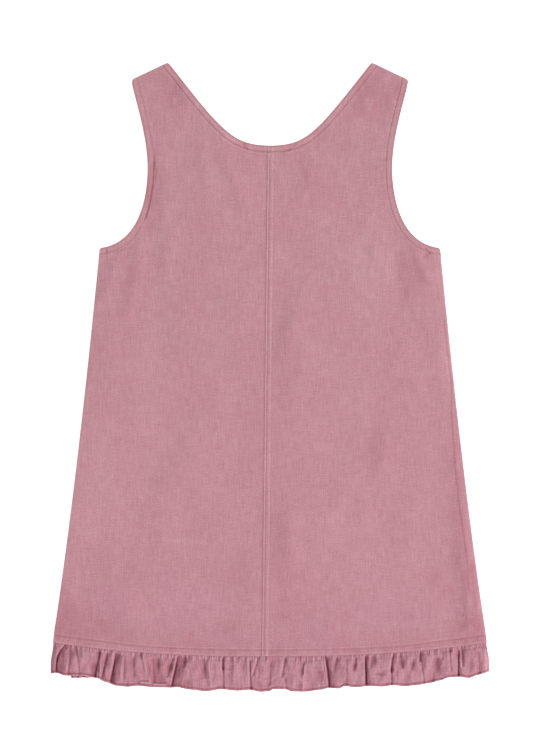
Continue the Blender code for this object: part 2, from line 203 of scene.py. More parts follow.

# Thin creases: from and to on the plan in mm, and how much shade is painted in them, which also sinks them a
# little, with a minus sign where they are painted pale as a highlight. The six from (165.9, 55) on are the
# side seam, which rolls to the back.
THIN_CREASES = (
    # x0, y0, x1, y1, strength
    (-25.8, 224.2, -20.8, 216.9, 3.4),
    (-27.6, 223.0, -24.6, 221.0, 1.2),
    (25.2, 223.2, 18.2, 216.9, 3.2),
    (-16.0, 215.8, -3.0, 215.0, 1.4),
    (12.0, 215.5, 18.5, 216.5, 3.2),
    (-20.0, 213.4, -6.0, 212.2, 0.9),
    (8.0, 214.4, 13.5, 213.4, 1.4),
    (-199.0, -194.8, -187.0, -192.0, 1.6),
    (182.0, -226.0, 196.0, -238.0, 1.8),
    (192.0, -232.0, 203.0, -228.0, 1.4),
    (-110.6, 206.0, -112.2, 183.0, 4.4),
    (-112.2, 183.0, -114.6, 168.0, 6.0),
    (-114.6, 168.0, -118.6, 152.0, 5.4),
    (-108.1, 200.5, -109.7, 186.0, 2.6),
    (-157.0, 123.0, -154.4, 117.6, 3.2),
    (-137.5, 123.5, -147.3, 118.4, 2.4),
    (149.0, 122.5, 154.0, 117.5, 4.0),
    (147.9, 114.8, 152.7, 118.5, 3.0),
    (103.4, 208.0, 110.0, 207.0, 1.6),
    (100.0, 201.6, 106.6, 201.8, 1.2),
    (165.9, 55.0, 172.9, -2.6, 1.8),
    (172.9, -2.6, 173.4, -35.0, 2.1),
    (173.4, -35.0, 176.4, -81.0, 2.6),
    (176.4, -81.0, 181.2, -126.0, 2.8),
    (181.2, -126.0, 187.0, -166.0, 3.4),
    (187.0, -166.0, 190.5, -211.0, 2.4),
    (24.6, -104.6, 53.8, -103.5, 0.9),
    (53.8, -103.5, 83.0, -117.3, 0.7),
    (8.6, -127.8, 45.9, -124.9, 0.8),
    (-121.9, -155.5, -63.5, -156.4, -1.2),
)


def smooth(value):
    """0 to 1 with level ends."""
    t = min(1.0, max(0.0, value))
    return t * t * (3.0 - 2.0 * t)


def bell(value):
    return math.exp(-value * value)


def curve(start, handles, end):
    knots = [Vector((x, y, 0.0)) for x, y in (start, *handles, end)]
    return [point.to_2d() for point in interpolate_bezier(*knots, CURVE_POINTS)]


def running(line):
    """Lengths along a line, from its first point."""
    lengths = [0.0]
    for a, b in zip(line, line[1:]):
        lengths.append(lengths[-1] + (b - a).length)
    return lengths


def along(line, wanted):
    """Points of a line at the lengths that are wanted, which go up."""
    lengths, points, i = running(line), [], 0
    for want in wanted:
        while i < len(line) - 2 and lengths[i + 1] < want:
            i += 1
        share = (want - lengths[i]) / (lengths[i + 1] - lengths[i])
        points.append(line[i].lerp(line[i + 1], share))
    return points


def spread(start, end, count):
    """Even values after start, up to end."""
    return [start + (end - start) * (k + 1) / count for k in range(count)]


def hem_line(x):
    """Height on the plan of the seam that holds the ruffle."""
    return HEM_LOW + HEM_BOW * (min(abs(x), HEM_WIDTH / 2) / (HEM_WIDTH / 2)) ** HEM_POWER


def hem_band(x):
    """Width of the strip between the ruffle's seam and its topstitching, wider towards the side seams."""
    return HEM_BAND + HEM_BAND_MORE * smooth((abs(x) - HEM_BAND_FROM) / HEM_BAND_OVER)


def leaning(y):
    """How far the lap has gone towards -X at this height."""
    return LAP_LEAN * (NECK_LOW - y) / (NECK_LOW - HEM_LOW)


def edges(lap):
    """Neck, armhole and side of one half, as close points."""
    neck = curve(NECK_CORNER, NECK_HANDLES, (-lap, NECK_LOW))
    arm = curve(ARM_CORNER, ARM_UPPER_HANDLES, ARM_WAIST)[:-1]
    arm += curve(ARM_WAIST, ARM_LOWER_HANDLES, UNDERARM)
    top = STRIP_ROWS[0]
    strip_corner = (HEM_CORNER[0] - SIDE_SLOPE * top, HEM_CORNER[1] + top)
    return neck, arm, curve(UNDERARM, SIDE_HANDLES, strip_corner)


def normals(line, side):
    """Direction into the cloth at each point; side is +1 where the cloth is to the left of the line."""
    ways = [(b - a).normalized() for a, b in zip([line[0]] + line, line[1:] + [line[-1]]) if a != b]
    ways += [ways[-1]] * (len(line) - len(ways))
    return [Vector((-way.y, way.x)) * side for way in ways]


def turned_corner(point, across, down, from_edge, from_seam):
    """Draws a point near a square corner in, so that the corner is round."""
    if from_edge >= CORNER or from_seam >= CORNER:
        return point
    a, b = 1.0 - from_edge / CORNER, 1.0 - from_seam / CORNER
    shift_a = a - a * math.sqrt(1.0 - b * b / 2)
    shift_b = b - b * math.sqrt(1.0 - a * a / 2)
    return point + (across * shift_a + down * shift_b) * CORNER


def half_plan(lap, lean, rows=NECK_ROWS, columns=MIDDLE_COLUMNS):
    """Rows of plan points for the body of one half, its neck band and its armhole band.

    lean is 1 for the right half, -1 for the left and 0 for the front.
    """
    neck_line, arm_line, side_line = edges(lap)
    neck_length, arm_length, side_length = (running(line)[-1] for line in (neck_line, arm_line, side_line))
    seam = SEAM_ROWS[-1]
    arm_split = arm_length * ARM_SPLIT
    fine_rows = round((rows - len(CENTRE_ROWS)) * FINE_SHARE)
    fine_from, fine_to = neck_length - FINE_FROM, neck_length - FINE_TO
    from_underarm = [arm_length - reach for reach in reversed(SEAM_ROWS)]
    neck_at = list(SEAM_ROWS) + spread(seam, fine_from, rows - len(CENTRE_ROWS) - fine_rows)
    neck_at += spread(fine_from, fine_to, fine_rows) + [neck_length - reach for reach in CENTRE_ROWS]
    arm_at = list(SEAM_ROWS) + spread(seam, arm_split, rows)
    arm_at += spread(arm_split, from_underarm[0], ARM_ROWS) + from_underarm[1:]
    neck, arm = along(neck_line, neck_at), along(arm_line, arm_at)
    side_at = [BAND] + spread(BAND, side_length, SIDE_ROWS)
    side = along(side_line, side_at)
    neck_in, arm_in = normals(neck, 1), normals(arm, -1)
    shoulder = (arm[0] - neck[0]).normalized()
    for row in range(SHOULDER_TURN):
        turn = smooth(row / SHOULDER_TURN)
        neck_in[row] = shoulder.lerp(neck_in[row], turn).normalized()
        arm_in[row] = (-shoulder).lerp(arm_in[row], turn).normalized()
    neck_in[-1] = Vector((0.0, -1.0))
    down_side = (side[0] - arm[-1]).normalized()
    for back in range(UNDERARM_TURN):
        turn = smooth(back / UNDERARM_TURN)
        arm_in[-1 - back] = down_side.lerp(arm_in[-1 - back], turn).normalized()

    bands = []
    for line, way, towards, at, length in (
        (neck, neck_in, shoulder, neck_at, neck_length),
        (arm, arm_in, -shoulder, arm_at, arm_length),
    ):
        down = (line[len(SEAM_ROWS)] - line[0]).normalized()
        band = []
        for point, inwards, run in zip(line, way, at):
            row = [point + inwards * reach for reach in BAND_COLUMNS]
            row = [turned_corner(p, towards, down, reach, run) for p, reach in zip(row, BAND_COLUMNS)]
            if line is arm:
                up = (line[-SHOULDER_TURN] - line[-1]).normalized()
                rest = length - run
                row = [turned_corner(p, down_side, up, reach, rest) for p, reach in zip(row, BAND_COLUMNS)]
            band.append(row)
        bands.append(band)
    neck_band, arm_band = bands

    inner = [row[-1] for row in neck_band]
    outer = [row[-1] for row in arm_band]
    corner, underarm = len(inner) - 1, len(outer) - 1
    top = STRIP_ROWS[0]
    hem_top = hem_line(lap) + top
    centre_top = Vector((-lap - lean * leaning(CENTRE_AT_UNDERARM), CENTRE_AT_UNDERARM))
    centre_foot = Vector((-lap - lean * leaning(hem_top), hem_top))
    inner += [inner[-1].lerp(centre_top, k) for k in spread(0.0, 1.0, underarm - corner)]
    inner += [centre_top.lerp(centre_foot, k) for k in spread(0.0, 1.0, SIDE_ROWS)]
    outer += side[1:]
    for above in STRIP_ROWS[1:]:
        y = hem_line(lap) + above
        inner.append(Vector((-lap - lean * leaning(y), y)))
        outer.append(Vector((HEM_CORNER[0] - SIDE_SLOPE * above, HEM_CORNER[1] + above)))
    body = []
    last = underarm + SIDE_ROWS
    for row, (a, b) in enumerate(zip(inner, outer)):
        way = (b - a).normalized()
        left_way = neck_in[row] if row < corner else way
        right_way = arm_in[row] if row < underarm else -way
        if row == corner:
            left_way = Vector((1.0, -1.0))
        if row == underarm:      # its flank splits the corner between the armhole and the side
            right_way = arm_in[row] * 1.15 - way * 0.17
        if row < corner:
            from_centre = neck_length - neck_at[row]
            left_reach = FLANK + FLANK_MORE * smooth(from_centre / FLANK_GROWS)
            left_reach = min(left_reach, FLANK_AT_CENTRE * from_centre)
        else:
            left_reach = FLANK + SIDE_FLANK_MORE * smooth((row - corner) * CENTRE_STEP / FLANK_GROWS)
        beside = smooth((b - outer[underarm]).length / FLANK_GROWS)
        right_reach = FLANK + FLANK_MORE * beside
        if row > underarm:
            right_reach = SEAM_FLANK + SIDE_FLANK_MORE * beside
        left = [a + left_way * left_reach * share for share in FLANK_COLUMNS]
        right = [b + right_way * right_reach * share for share in reversed(FLANK_COLUMNS)]
        shares = [1.0 - (1.0 - k / columns) ** MIDDLE_CROWDS for k in range(1, columns)]
        middle = [left[-1].lerp(right[0], share) for share in shares]
        sag = min(1.0, max(0.0, (row - underarm) / (last - underarm))) ** SAG_POWER
        points = []
        for point in left + middle + right:
            chord = HEM_LOW + HEM_BOW * max(0.0, point.x) / (HEM_WIDTH / 2)
            points.append(point + Vector((0.0, (hem_line(point.x) - chord) * sag)))
        body.append(points)
    return body, neck_band, arm_band


def nearest(line):
    """A tree of a line's points, close together."""
    length = running(line)[-1]
    points = along(line, [TREE_STEP * k for k in range(int(length / TREE_STEP))] + [length])
    tree = kdtree.KDTree(len(points))
    for index, point in enumerate(points):
        tree.insert((point.x, point.y, 0.0), index)
    tree.balance()
    return tree


def away(tree, x, y):
    """How far a point is from a line, and where along the line."""
    _, index, reach = tree.find((x, y, 0.0))
    return reach, index * TREE_STEP


def from_edges(trees, x, y):
    """How far a point is from the neck, armhole, side and shoulder, and where along each."""
    return zip(*(away(tree, x, y) for tree in trees))


def nose(reach, radius):
    """How far a rounded edge has dropped at this reach from it."""
    if reach >= radius:
        return 0.0
    return radius - math.sqrt(max(0.0, radius * radius - (radius - reach) ** 2))


def kept_between(low, value, high, ease=0.5):
    """The value, eased to stay above low and below high."""
    raised = (value + low + math.sqrt((value - low) ** 2 + ease * ease)) / 2
    return (raised + high - math.sqrt((high - raised) ** 2 + ease * ease)) / 2


def off_line(x0, y0, x1, y1, x, y):
    """How far a point is from a straight line's nearest point, and that point's share of its length."""
    a, b, p = Vector((x0, y0)), Vector((x1, y1)), Vector((x, y))
    share = min(1.0, max(0.0, (p - a).dot(b - a) / (b - a).length_squared))
    return (p - a.lerp(b, share)).length, share


def folded(folds, x, y):
    """Height that a table of folds gives at a point of the plan, which is in mm."""
    total = 0.0
    for x0, y0, x1, y1, half_width, height in folds:
        if x < min(x0, x1) - 3 * half_width or x > max(x0, x1) + 3 * half_width:
            continue
        off, share = off_line(x0, y0, x1, y1, x, y)
        total += height * (0.45 + 0.55 * math.sin(math.pi * share)) * bell(off / half_width)
    return total


def shade_and_dye_patches(x, y):
    """How much paler the colour is painted at a point of the plan, which is in mm: painted light and shade
    of soft folds, with uneven dye.
    """
    ragged = 1.0 + 0.9 * noise.noise(Vector((x / 9.0, y / 15.0, 61.0)))
    total = 0.0
    for middle_x, middle_y, reach_x, reach_y, strength in SHADE_AND_DYE_PATCHES:
        off = ((x - middle_x) / reach_x) ** 2 + ((y - middle_y) / reach_y) ** 2
        if off < 6.0:
            total += strength * math.exp(-off)
    return total * ragged


def thin_creases(x, y):
    """How much shade is painted in the thin creases at a point of the plan, which is in mm."""
    total = 0.0
    for x0, y0, x1, y1, strength in THIN_CREASES:
        beside = x < min(x0, x1) - CREASE_REACH or x > max(x0, x1) + CREASE_REACH
        if beside or y < min(y0, y1) - CREASE_REACH or y > max(y0, y1) + CREASE_REACH:
            continue
        off, _ = off_line(x0, y0, x1, y1, x, y)
        total += strength * bell(off / CREASE_HALF_WIDTH)
    return total


def body_waves(x, y):
    """Low, long waves that a washed cloth keeps when it is laid out."""
    return sum(noise.noise(Vector((x / wide, y / long, seed))) * high for wide, long, seed, high in WAVES)


def stitched_edge(reach, run, seed):
    """Relief of a turned edge: its band, the groove under the stitches and the pucker beside it."""
    band = 0.00022 * (1.0 - smooth((reach - BAND + 0.0004) / 0.0010))
    groove = -0.00014 * bell((reach - BAND) / 0.00045)
    roll = 0.00010 * bell((reach - BAND - 0.0016) / 0.0009)
    drawn = 0.00034 * noise.noise(Vector((run / 0.0042, reach / 0.012, seed)))
    return band + groove + roll + drawn * bell((reach - 0.0040) / 0.0046)


def hem_relief(x, y):
    """Height that the hem adds, and how far the point is above the hem's seam."""
    above = y - hem_line(x)
    past_row = above - hem_band(x)
    climb = HEM_RISE * smooth(1.0 - (above - HEM_BAND) / HEM_SLOPE)
    roll = 0.00034 * bell((past_row - 0.0011) / 0.0010)
    groove = -0.00030 * bell((past_row + 0.0008) / 0.00060)
    fold = 0.00024 * bell((above - 0.0012) / 0.0010)
    drawn = 0.00034 * noise.noise(Vector((x / 0.0050, 3.3, above / 0.012)))
    return climb + roll + groove + fold + drawn * bell((above - HEM_BAND / 2) / 0.0065), above


def turned_edge_light_and_shade(reach, strength):
    """Colour along a turned edge: painted shade in its fold and at its stitches, paler over its flat band,
    and a painted highlight on the pucker beside the stitches.
    """
    fold = -1.6 * bell((reach - 0.0013) / 0.00060)
    flat = 1.1 * strength * smooth((reach - 0.0010) / 0.0016) * (1.0 - smooth((reach - 0.0030) / 0.0028))
    stitched = -3.7 * strength * bell((reach - BAND + 0.0002) / 0.00046)
    beside = 0.7 * strength * bell((reach - BAND - 0.0014) / 0.0008)
    return fold + flat + stitched + beside


def hem_strip_light_and_shade(x, above):
    """The same along the hem's strip: painted highlights on its two folds, painted shade under the row of
    stitches, painted light and shade of its small puckers, and painted shade that deepens towards the
    ruffle's seam.
    """
    past_row = above - hem_band(x)
    light = 2.2 * bell((past_row - 0.0008) / 0.00048) + 1.7 * bell((above - 0.0012) / 0.0006)
    dark = 3.0 * bell((past_row + 0.0007) / 0.00055) + 0.8 * bell((above + 0.0002) / 0.0006)
    ticks = 2.4 * noise.noise(Vector((x / 0.0019, above / 0.012, 71.0))) * bell((above - 0.0034) / 0.0030)
    return light - dark + ticks - 0.9 * smooth(1.0 - above / 0.034)


# Painted shade and light along the neck's and the armholes' turned edges and along the hem's strip
def edges_light_and_shade(from_neck, from_arm, x, above):
    return turned_edge_light_and_shade(from_neck, 1.0) + turned_edge_light_and_shade(from_arm, ARM_EDGE_SHARE) + hem_strip_light_and_shade(x, above)


def back_relief(trees, side, lap_rise, lap_light_and_shade):
    """The back's outer face as a function: height, wall, and the painted shade and painted light, with some
    wear, of its colour.
    """
    def relief(x, y):
        reaches, runs = from_edges(trees, x * side, y)
        from_neck, from_arm, from_side, from_shoulder = reaches
        hem, above = hem_relief(x, y)
        level = smooth(above / LEVEL_AT_HEM) * smooth(from_shoulder / LEVEL_AT_SHOULDER)
        swell = FOLD_LIFT * folded(BODY_FOLDS, x * 1000, y * 1000) + body_waves(x, y)
        swell *= LEVEL_FOLDS + (1.0 - LEVEL_FOLDS) * level
        height = BACK_FACE + hem + kept_between(-DEEPEST, swell, HIGHEST, 0.0004)
        height += lap_rise(x + leaning(y))
        height += stitched_edge(from_neck, runs[0], 1.0 + side)
        height += stitched_edge(from_arm, runs[1], 5.0 + side)
        edge = min(from_neck, from_arm)
        drop = nose(edge, TURNED / 2)
        wall = max(THINNEST, TURNED - 2 * drop) if edge < BAND else CLOTH
        seam = min(from_side, from_shoulder)
        rim = nose(seam, RIGHT_ROLL if side > 0 else LEFT_ROLL)
        if side > 0:
            rim += SIDE_SINK * (1.0 - smooth(from_side / (SEAM_IN - SEAM_CLOSER * smooth(-y / 0.2))))
        # Painted shade and light along the edges and the hem, in the thin creases, in broad patches and over
        # the lap, with some wear
        wear_and_painted_shade = edges_light_and_shade(from_neck, from_arm, x, above)
        creased = thin_creases(x * 1000, y * 1000)
        wear_and_painted_shade += shade_and_dye_patches(x * 1000, y * 1000) + lap_light_and_shade(x + leaning(y), from_neck) - creased
        # A painted highlight along the rolled side and shoulder seams
        wear_and_painted_shade += 2.0 * bell(seam / 0.0010)
        top = height - drop - rim - CREASE_SINK * creased
        return top, max(THINNEST, min(wall, top - CLEARANCE)), wear_and_painted_shade

    return relief


def new_cloth():
    """An empty mesh, and what each vertex of a cloth carries: its place on the flat cut, and the painted
    shade and painted light, with some wear, that deepen or pale its colour.
    """
    mesh = bmesh.new()
    return mesh, mesh.verts.layers.float_vector.new("flat"), mesh.verts.layers.float.new("wear_and_painted_shade")


def grid(mesh, across, down):
    """The vertices of a new grid, line by line from the top."""
    made = bmesh.ops.create_grid(mesh, x_segments=across, y_segments=down, size=1.0)["verts"]
    return sorted(made, key=lambda v: (-round(v.co.y, 6), v.co.x))


def lay(mesh, lines, side):
    """A grid whose vertices take the places of the lines' points, top line first."""
    vertices = grid(mesh, len(lines[0]) - 1, len(lines) - 1)
    for vertex, point in zip(vertices, (point for line in lines for point in line)):
        vertex.co = (point.x * side, point.y, 0.0)


def close(mesh, walls):
    """Closes an open sheet into a thin shell, its inner face each vertex's wall away."""
    inner = mesh.verts[:]
    bmesh.ops.extrude_face_region(mesh, geom=mesh.faces[:])
    for vertex, wall in zip(inner, walls):
        vertex.co -= wall
    bmesh.ops.recalc_face_normals(mesh, faces=mesh.faces[:])


def new_object(name, mesh, finish):
    data = bpy.data.meshes.new(name)
    mesh.to_mesh(data)
    mesh.free()
    data.shade_smooth()
    data.materials.append(finish)
    made = bpy.data.objects.new(name, data)
    bpy.context.scene.collection.objects.link(made)
    return made


def add_cloth(name, node, mesh, finish):
    """A piece of cloth from a closed shell: its UV map holds the flat cut, in metres."""
    flat = mesh.verts.layers.float_vector["flat"]
    cut = mesh.loops.layers.uv.new("cut")
    for face in mesh.faces:
        for loop in face.loops:
            loop[cut].uv = loop.vert[flat].xy
    piece = new_object(name, mesh, finish)
    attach(piece, "root")
    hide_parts(node)
    return piece


def panel_mesh(plan, side, relief, cut_from, whole=False):
    """A panel as a thin shell, from a half's plan and its relief; a whole one has its outer face down."""
    mesh, flat, wear_shade_layer = new_cloth()
    body, neck_band, arm_band = plan
    for lines in (body, neck_band, [list(reversed(row)) for row in arm_band]):
        lay(mesh, lines, side)
    bmesh.ops.remove_doubles(mesh, verts=mesh.verts[:], dist=JOINED)
    if whole:
        half = mesh.verts[:] + mesh.edges[:] + mesh.faces[:]
        bmesh.ops.mirror(mesh, geom=half, axis="X", merge_dist=2 * JOINED)
    walls = []
    for vertex in mesh.verts:
        x, y, _ = vertex.co
        height, wall, wear_and_painted_shade = relief(x, y)
        vertex[flat] = Vector((x + cut_from, y, 0.0))
        vertex[wear_shade_layer] = wear_and_painted_shade
        vertex.co.z = height
        walls.append(Vector((0.0, 0.0, -wall if whole else wall)))
    close(mesh, walls)
    return mesh


def new_node(tree, kind, values=(), **settings):
    """A node with its settings; a value of an input is a constant or another node's output."""
    node = tree.nodes.new(kind)
    for name, value in settings.items():
        setattr(node, name, value)
    for socket, value in dict(values).items():
        if isinstance(value, bpy.types.NodeSocket):
            tree.links.new(value, node.inputs[socket])
        else:
            node.inputs[socket].default_value = value
    return node


def new_group(name, inputs, outputs):
    """A node group, its input sockets and its output sockets; an input without a value is a vector."""
    group = bpy.data.node_groups.new(name, "ShaderNodeTree")
    for label, value in inputs.items():
        kind = "NodeSocketVector" if value is None else "NodeSocketFloat"
        socket = group.interface.new_socket(name=label, in_out="INPUT", socket_type=kind)
        if value is not None:
            socket.default_value = value
    for label in outputs:
        group.interface.new_socket(name=label, in_out="OUTPUT", socket_type="NodeSocketFloat")
    return group, new_node(group, "NodeGroupInput").outputs, new_node(group, "NodeGroupOutput").inputs


def math_node(tree, operation, *values):
    return new_node(tree, "ShaderNodeMath", enumerate(values), operation=operation).outputs[0]


def stretched_noise(tree, vector, width, length, detail, shift):
    """Noise from -0.5 to 0.5 in patches of this width and length, in metres."""
    place = new_node(tree, "ShaderNodeMapping", {
        "Vector": vector, "Location": (shift, -shift, shift), "Scale": (1 / width, 1 / length, 1.0),
    })
    patches = new_node(tree, "ShaderNodeTexNoise", {
        "Vector": place.outputs["Vector"], "Scale": 1.0, "Detail": detail, "Roughness": 0.55,
    })
    return math_node(tree, "SUBTRACT", patches.outputs["Fac"], 0.5)


# Garment dye: how much of it there is, in streaks along the warp and the weft, grain, blotches, wide
# clouds and pale neps, which are small knots of fibre; and a drift between two pinks
garment_dye, dye_in, dye_out = new_group(
    "garment_dye",
    {"Vector": None, "Warp": 0.1, "Weft": 0.1, "Grain": 0.1, "Blotches": 0.1, "Clouds": 0.1},
    ["Dye", "Drift"],
)
vector = dye_in["Vector"]
amount = 1.0
for label, width, length, detail, shift in (
    ("Warp", 0.0013, 0.018, 2.0, 0.0),
    ("Weft", 0.014, 0.0012, 2.0, 7.0),
    ("Grain", 0.0009, 0.0011, 1.0, 9.0),
    ("Blotches", 0.0055, 0.0080, 2.0, 5.0),
    ("Clouds", 0.030, 0.040, 3.0, 3.0),
):
    patches = stretched_noise(garment_dye, vector, width, length, detail, shift)
    taken = math_node(garment_dye, "MULTIPLY", patches, dye_in[label])
    amount = math_node(garment_dye, "ADD", taken, amount)
NEPS_APART, NEP_CORE, NEP_EDGE = 0.012, 0.020, 0.045    # metres, then shares of that
NEP_PALE, NEPS_LEFT_OUT = 0.20, 0.62
neps = new_node(garment_dye, "ShaderNodeTexVoronoi", {"Vector": vector, "Scale": 1 / NEPS_APART},
                voronoi_dimensions="2D")
nep = new_node(garment_dye, "ShaderNodeMapRange", {
    "Value": neps.outputs["Distance"], "From Min": NEP_CORE, "From Max": NEP_EDGE,
    "To Min": NEP_PALE, "To Max": 0.0,
})
few = new_node(garment_dye, "ShaderNodeSeparateColor", {0: neps.outputs["Color"]})
chosen = math_node(garment_dye, "GREATER_THAN", few.outputs[0], NEPS_LEFT_OUT)
paler = math_node(garment_dye, "MULTIPLY", nep.outputs[0], chosen)
garment_dye.links.new(math_node(garment_dye, "SUBTRACT", amount, paler), dye_out["Dye"])
drift = math_node(garment_dye, "ADD", stretched_noise(garment_dye, vector, 0.055, 0.080, 2.0, 11.0),
                  stretched_noise(garment_dye, vector, 0.0045, 0.0100, 2.0, 13.0))
garment_dye.links.new(math_node(garment_dye, "MULTIPLY", drift, 1.8), dye_out["Drift"])

# Plain weave: yarns over and under each other, with slubs where a yarn is thicker
plain_weave, weave_in, weave_out = new_group("plain_weave", {"Vector": None, "Pitch": 0.0005}, ["Height"])
apart = new_node(plain_weave, "ShaderNodeSeparateXYZ", {0: weave_in["Vector"]})
per_yarn = math_node(plain_weave, "DIVIDE", math.pi, weave_in["Pitch"])
warp = math_node(plain_weave, "SINE", math_node(plain_weave, "MULTIPLY", apart.outputs["X"], per_yarn))
weft = math_node(plain_weave, "SINE", math_node(plain_weave, "MULTIPLY", apart.outputs["Y"], per_yarn))
crossings = math_node(plain_weave, "MULTIPLY", warp, weft)
warp_slubs = stretched_noise(plain_weave, weave_in["Vector"], 0.0009, 0.014, 2.0, 17.0)
weft_slubs = stretched_noise(plain_weave, weave_in["Vector"], 0.012, 0.0010, 2.0, 19.0)
slubs = math_node(plain_weave, "ADD", warp_slubs, weft_slubs)
height = math_node(plain_weave, "ADD", math_node(plain_weave, "MULTIPLY", crossings, 0.35),
                   math_node(plain_weave, "MULTIPLY", slubs, 1.3))
plain_weave.links.new(math_node(plain_weave, "ADD", height, 0.5), weave_out["Height"])


def new_finish(name, values):
    """A material with these constants on its shader, its node tree and the shader's inputs."""
    finish = bpy.data.materials.new(name)
    finish.use_nodes = True
    surface = finish.node_tree.nodes["Principled BSDF"].inputs
    for label, value in values.items():
        surface[label].default_value = value
    return finish, finish.node_tree, surface


def link_surface(tree, surface, colour, bump, roughness):
    tree.links.new(colour.outputs[0], surface["Base Color"])
    tree.links.new(bump.outputs["Normal"], surface["Normal"])
    tree.links.new(roughness, surface["Roughness"])


def cloth_finish(name, pinks, towards_hem, dye_strengths, weave_depth):
    """Washed cotton: its uneven dye deepens the colour, and the painted shade and painted light held on each
    vertex deepen or pale it further, over a plain weave.
    """
    finish, tree, surface = new_finish(name, {
        "Metallic": 0.0, "Specular IOR Level": 0.25, "Sheen Weight": 0.12, "Sheen Roughness": 0.6,
        "Sheen Tint": (1.0, 0.82, 0.86, 1.0),
    })
    cut = new_node(tree, "ShaderNodeUVMap", uv_map="cut").outputs["UV"]
    dye = new_node(tree, "ShaderNodeGroup", {"Vector": cut, **dye_strengths}, node_tree=garment_dye)
    drift = math_node(tree, "ADD", dye.outputs["Drift"], 0.5)
    tint = new_node(tree, "ShaderNodeMix", {0: drift, 6: pinks[0], 7: pinks[1]}, data_type="RGBA")
    place = new_node(tree, "ShaderNodeSeparateXYZ", {0: cut})
    lower = new_node(tree, "ShaderNodeMapRange", {
        "Value": place.outputs["Y"], "From Min": 0.10, "From Max": -0.23, "To Min": -0.45, "To Max": 0.55,
    })
    mauve = new_node(tree, "ShaderNodeVectorMath", {0: lower.outputs[0], 1: towards_hem, 2: tint.outputs[2]},
                     operation="MULTIPLY_ADD")
    # Painted shade and painted light, with some wear, held on each vertex: they deepen or pale the dye
    wear_and_painted_shade = new_node(tree, "ShaderNodeAttribute", attribute_name="wear_and_painted_shade")
    dye_with_shade = math_node(tree, "MULTIPLY_ADD", wear_and_painted_shade.outputs["Fac"], -SHADE_UNIT, dye.outputs["Dye"])
    colour = new_node(tree, "ShaderNodeGamma", {"Color": mauve.outputs[0], "Gamma": dye_with_shade})
    weave = new_node(tree, "ShaderNodeGroup", {"Vector": cut}, node_tree=plain_weave).outputs["Height"]
    bump = new_node(tree, "ShaderNodeBump", {"Height": weave, "Strength": 0.6, "Distance": weave_depth})
    link_surface(tree, surface, colour, bump, math_node(tree, "MULTIPLY_ADD", weave, -0.10, 0.95))
    return finish


def plain_lap(x):
    """The left half stays flat where the right half covers it."""
    return 0.0


def painted_lap_shadow(x, from_neck):
    """A painted shadow that the folded edge of the right half casts on it."""
    return -1.9 * bell((x + 0.0029) / 0.00055)


def edge_trees(lap):
    neck, arm, side = edges(lap)
    side_low = side + [Vector(HEM_CORNER)]
    shoulder = [Vector(NECK_CORNER), Vector(ARM_CORNER)]
    return nearest(neck), nearest(arm), nearest(side_low), nearest(shoulder)


PINKS = ((0.4390, 0.2078, 0.2417, 1.0), (0.4230, 0.2118, 0.2441, 1.0))
TOWARDS_HEM = (0.0066, -0.0040, 0.0076)
SHADE_UNIT = 0.07            # share of the dye's depth that one unit of painted light and wear takes off, and one unit of painted shade adds
PANEL_DYE = {"Warp": 0.30, "Weft": 0.21, "Grain": 0.52, "Blotches": 0.17, "Clouds": 0.12}
PANEL_WEAVE = 0.00016        # depth of the weave
back_cloth = cloth_finish("back_cloth", PINKS, TOWARDS_HEM, PANEL_DYE, PANEL_WEAVE)
left_relief = back_relief(edge_trees(LAP_UNDER), -1, plain_lap, painted_lap_shadow)
left_mesh = panel_mesh(half_plan(LAP_UNDER, -1), -1, left_relief, cut_from=0.0)
back_left = add_cloth("back_left_cloth", "back_left", left_mesh, back_cloth)

# ---- Back, right half ------------------------------------------------------------------------------
# The same cut mirrored. Its centre edge is folded under and laps over the left half in a felled seam,
# which stands up as a low ridge from the neck's edge down through the hem's strip.
LAP_OVER = 0.0024            # folded edge, past the centre at the neck
LAP_ROWS = (0.0022, 0.0069)  # the two rows of stitches, from the folded edge
LAP_RISE = 0.00022           # height of its layers over the single cloth
RIGHT_CUT_FROM = 0.61        # middle of its flat cut on the UV map


def lap_ridge(x):
    """The felled seam between its folded edge and its second row of stitches, a low tube."""
    past = x + LAP_OVER
    flat = LAP_RISE * (1.0 - smooth((past - LAP_ROWS[1] + 0.0014) / 0.0026))
    tube = 0.00012 * bell((past - 0.0048) / 0.0013) + 0.00006 * bell((past - 0.0011) / 0.0006)
    rows = sum(bell((past - row) / 0.0005) for row in LAP_ROWS)
    return flat + tube - 0.00012 * rows - nose(max(0.0, past), 0.00016)


def lap_ridge_light_and_shade(x, from_neck):
    """Colour over the felled seam: painted highlights on its two humps and a painted glint where it runs
    through the neck's band, painted shade at its folded edge and its stitches.
    """
    past = x + LAP_OVER
    light = 1.7 * bell((past - 0.0010) / 0.00050) + 1.3 * bell((past - 0.0050) / 0.0010)
    light += 1.8 * bell((past - 0.0010) / 0.00050) * (1.0 - smooth((from_neck - BAND) / 0.001))
    return light - 0.9 * bell(past / 0.0003) - 2.0 * sum(bell((past - row) / 0.00042) for row in LAP_ROWS)


right_relief = back_relief(edge_trees(LAP_OVER), 1, lap_ridge, lap_ridge_light_and_shade)
right_mesh = panel_mesh(half_plan(LAP_OVER, 1), 1, right_relief, RIGHT_CUT_FROM)
back_right = add_cloth("back_right_cloth", "back_right", right_mesh, back_cloth)

# ---- Front -----------------------------------------------------------------------------------------
# One panel of the same outline, lying under the back with its outer face on the surface. Its neck and
# armhole edges are turned in as the back's, and its sides rise to meet the back at the seams.
FRONT_WAVES = 0.00025        # height of the low waves of its cloth
FRONT_HIGHEST = 0.0005       # its folds rise off the surface by no more than this
FRONT_ROWS, FRONT_COLUMNS = 48, 40
FRONT_ROLL = 0.0008          # radius of the edge that rolls up at the seams
FRONT_CUT_FROM = 1.43        # middle of its flat cut on the UV map

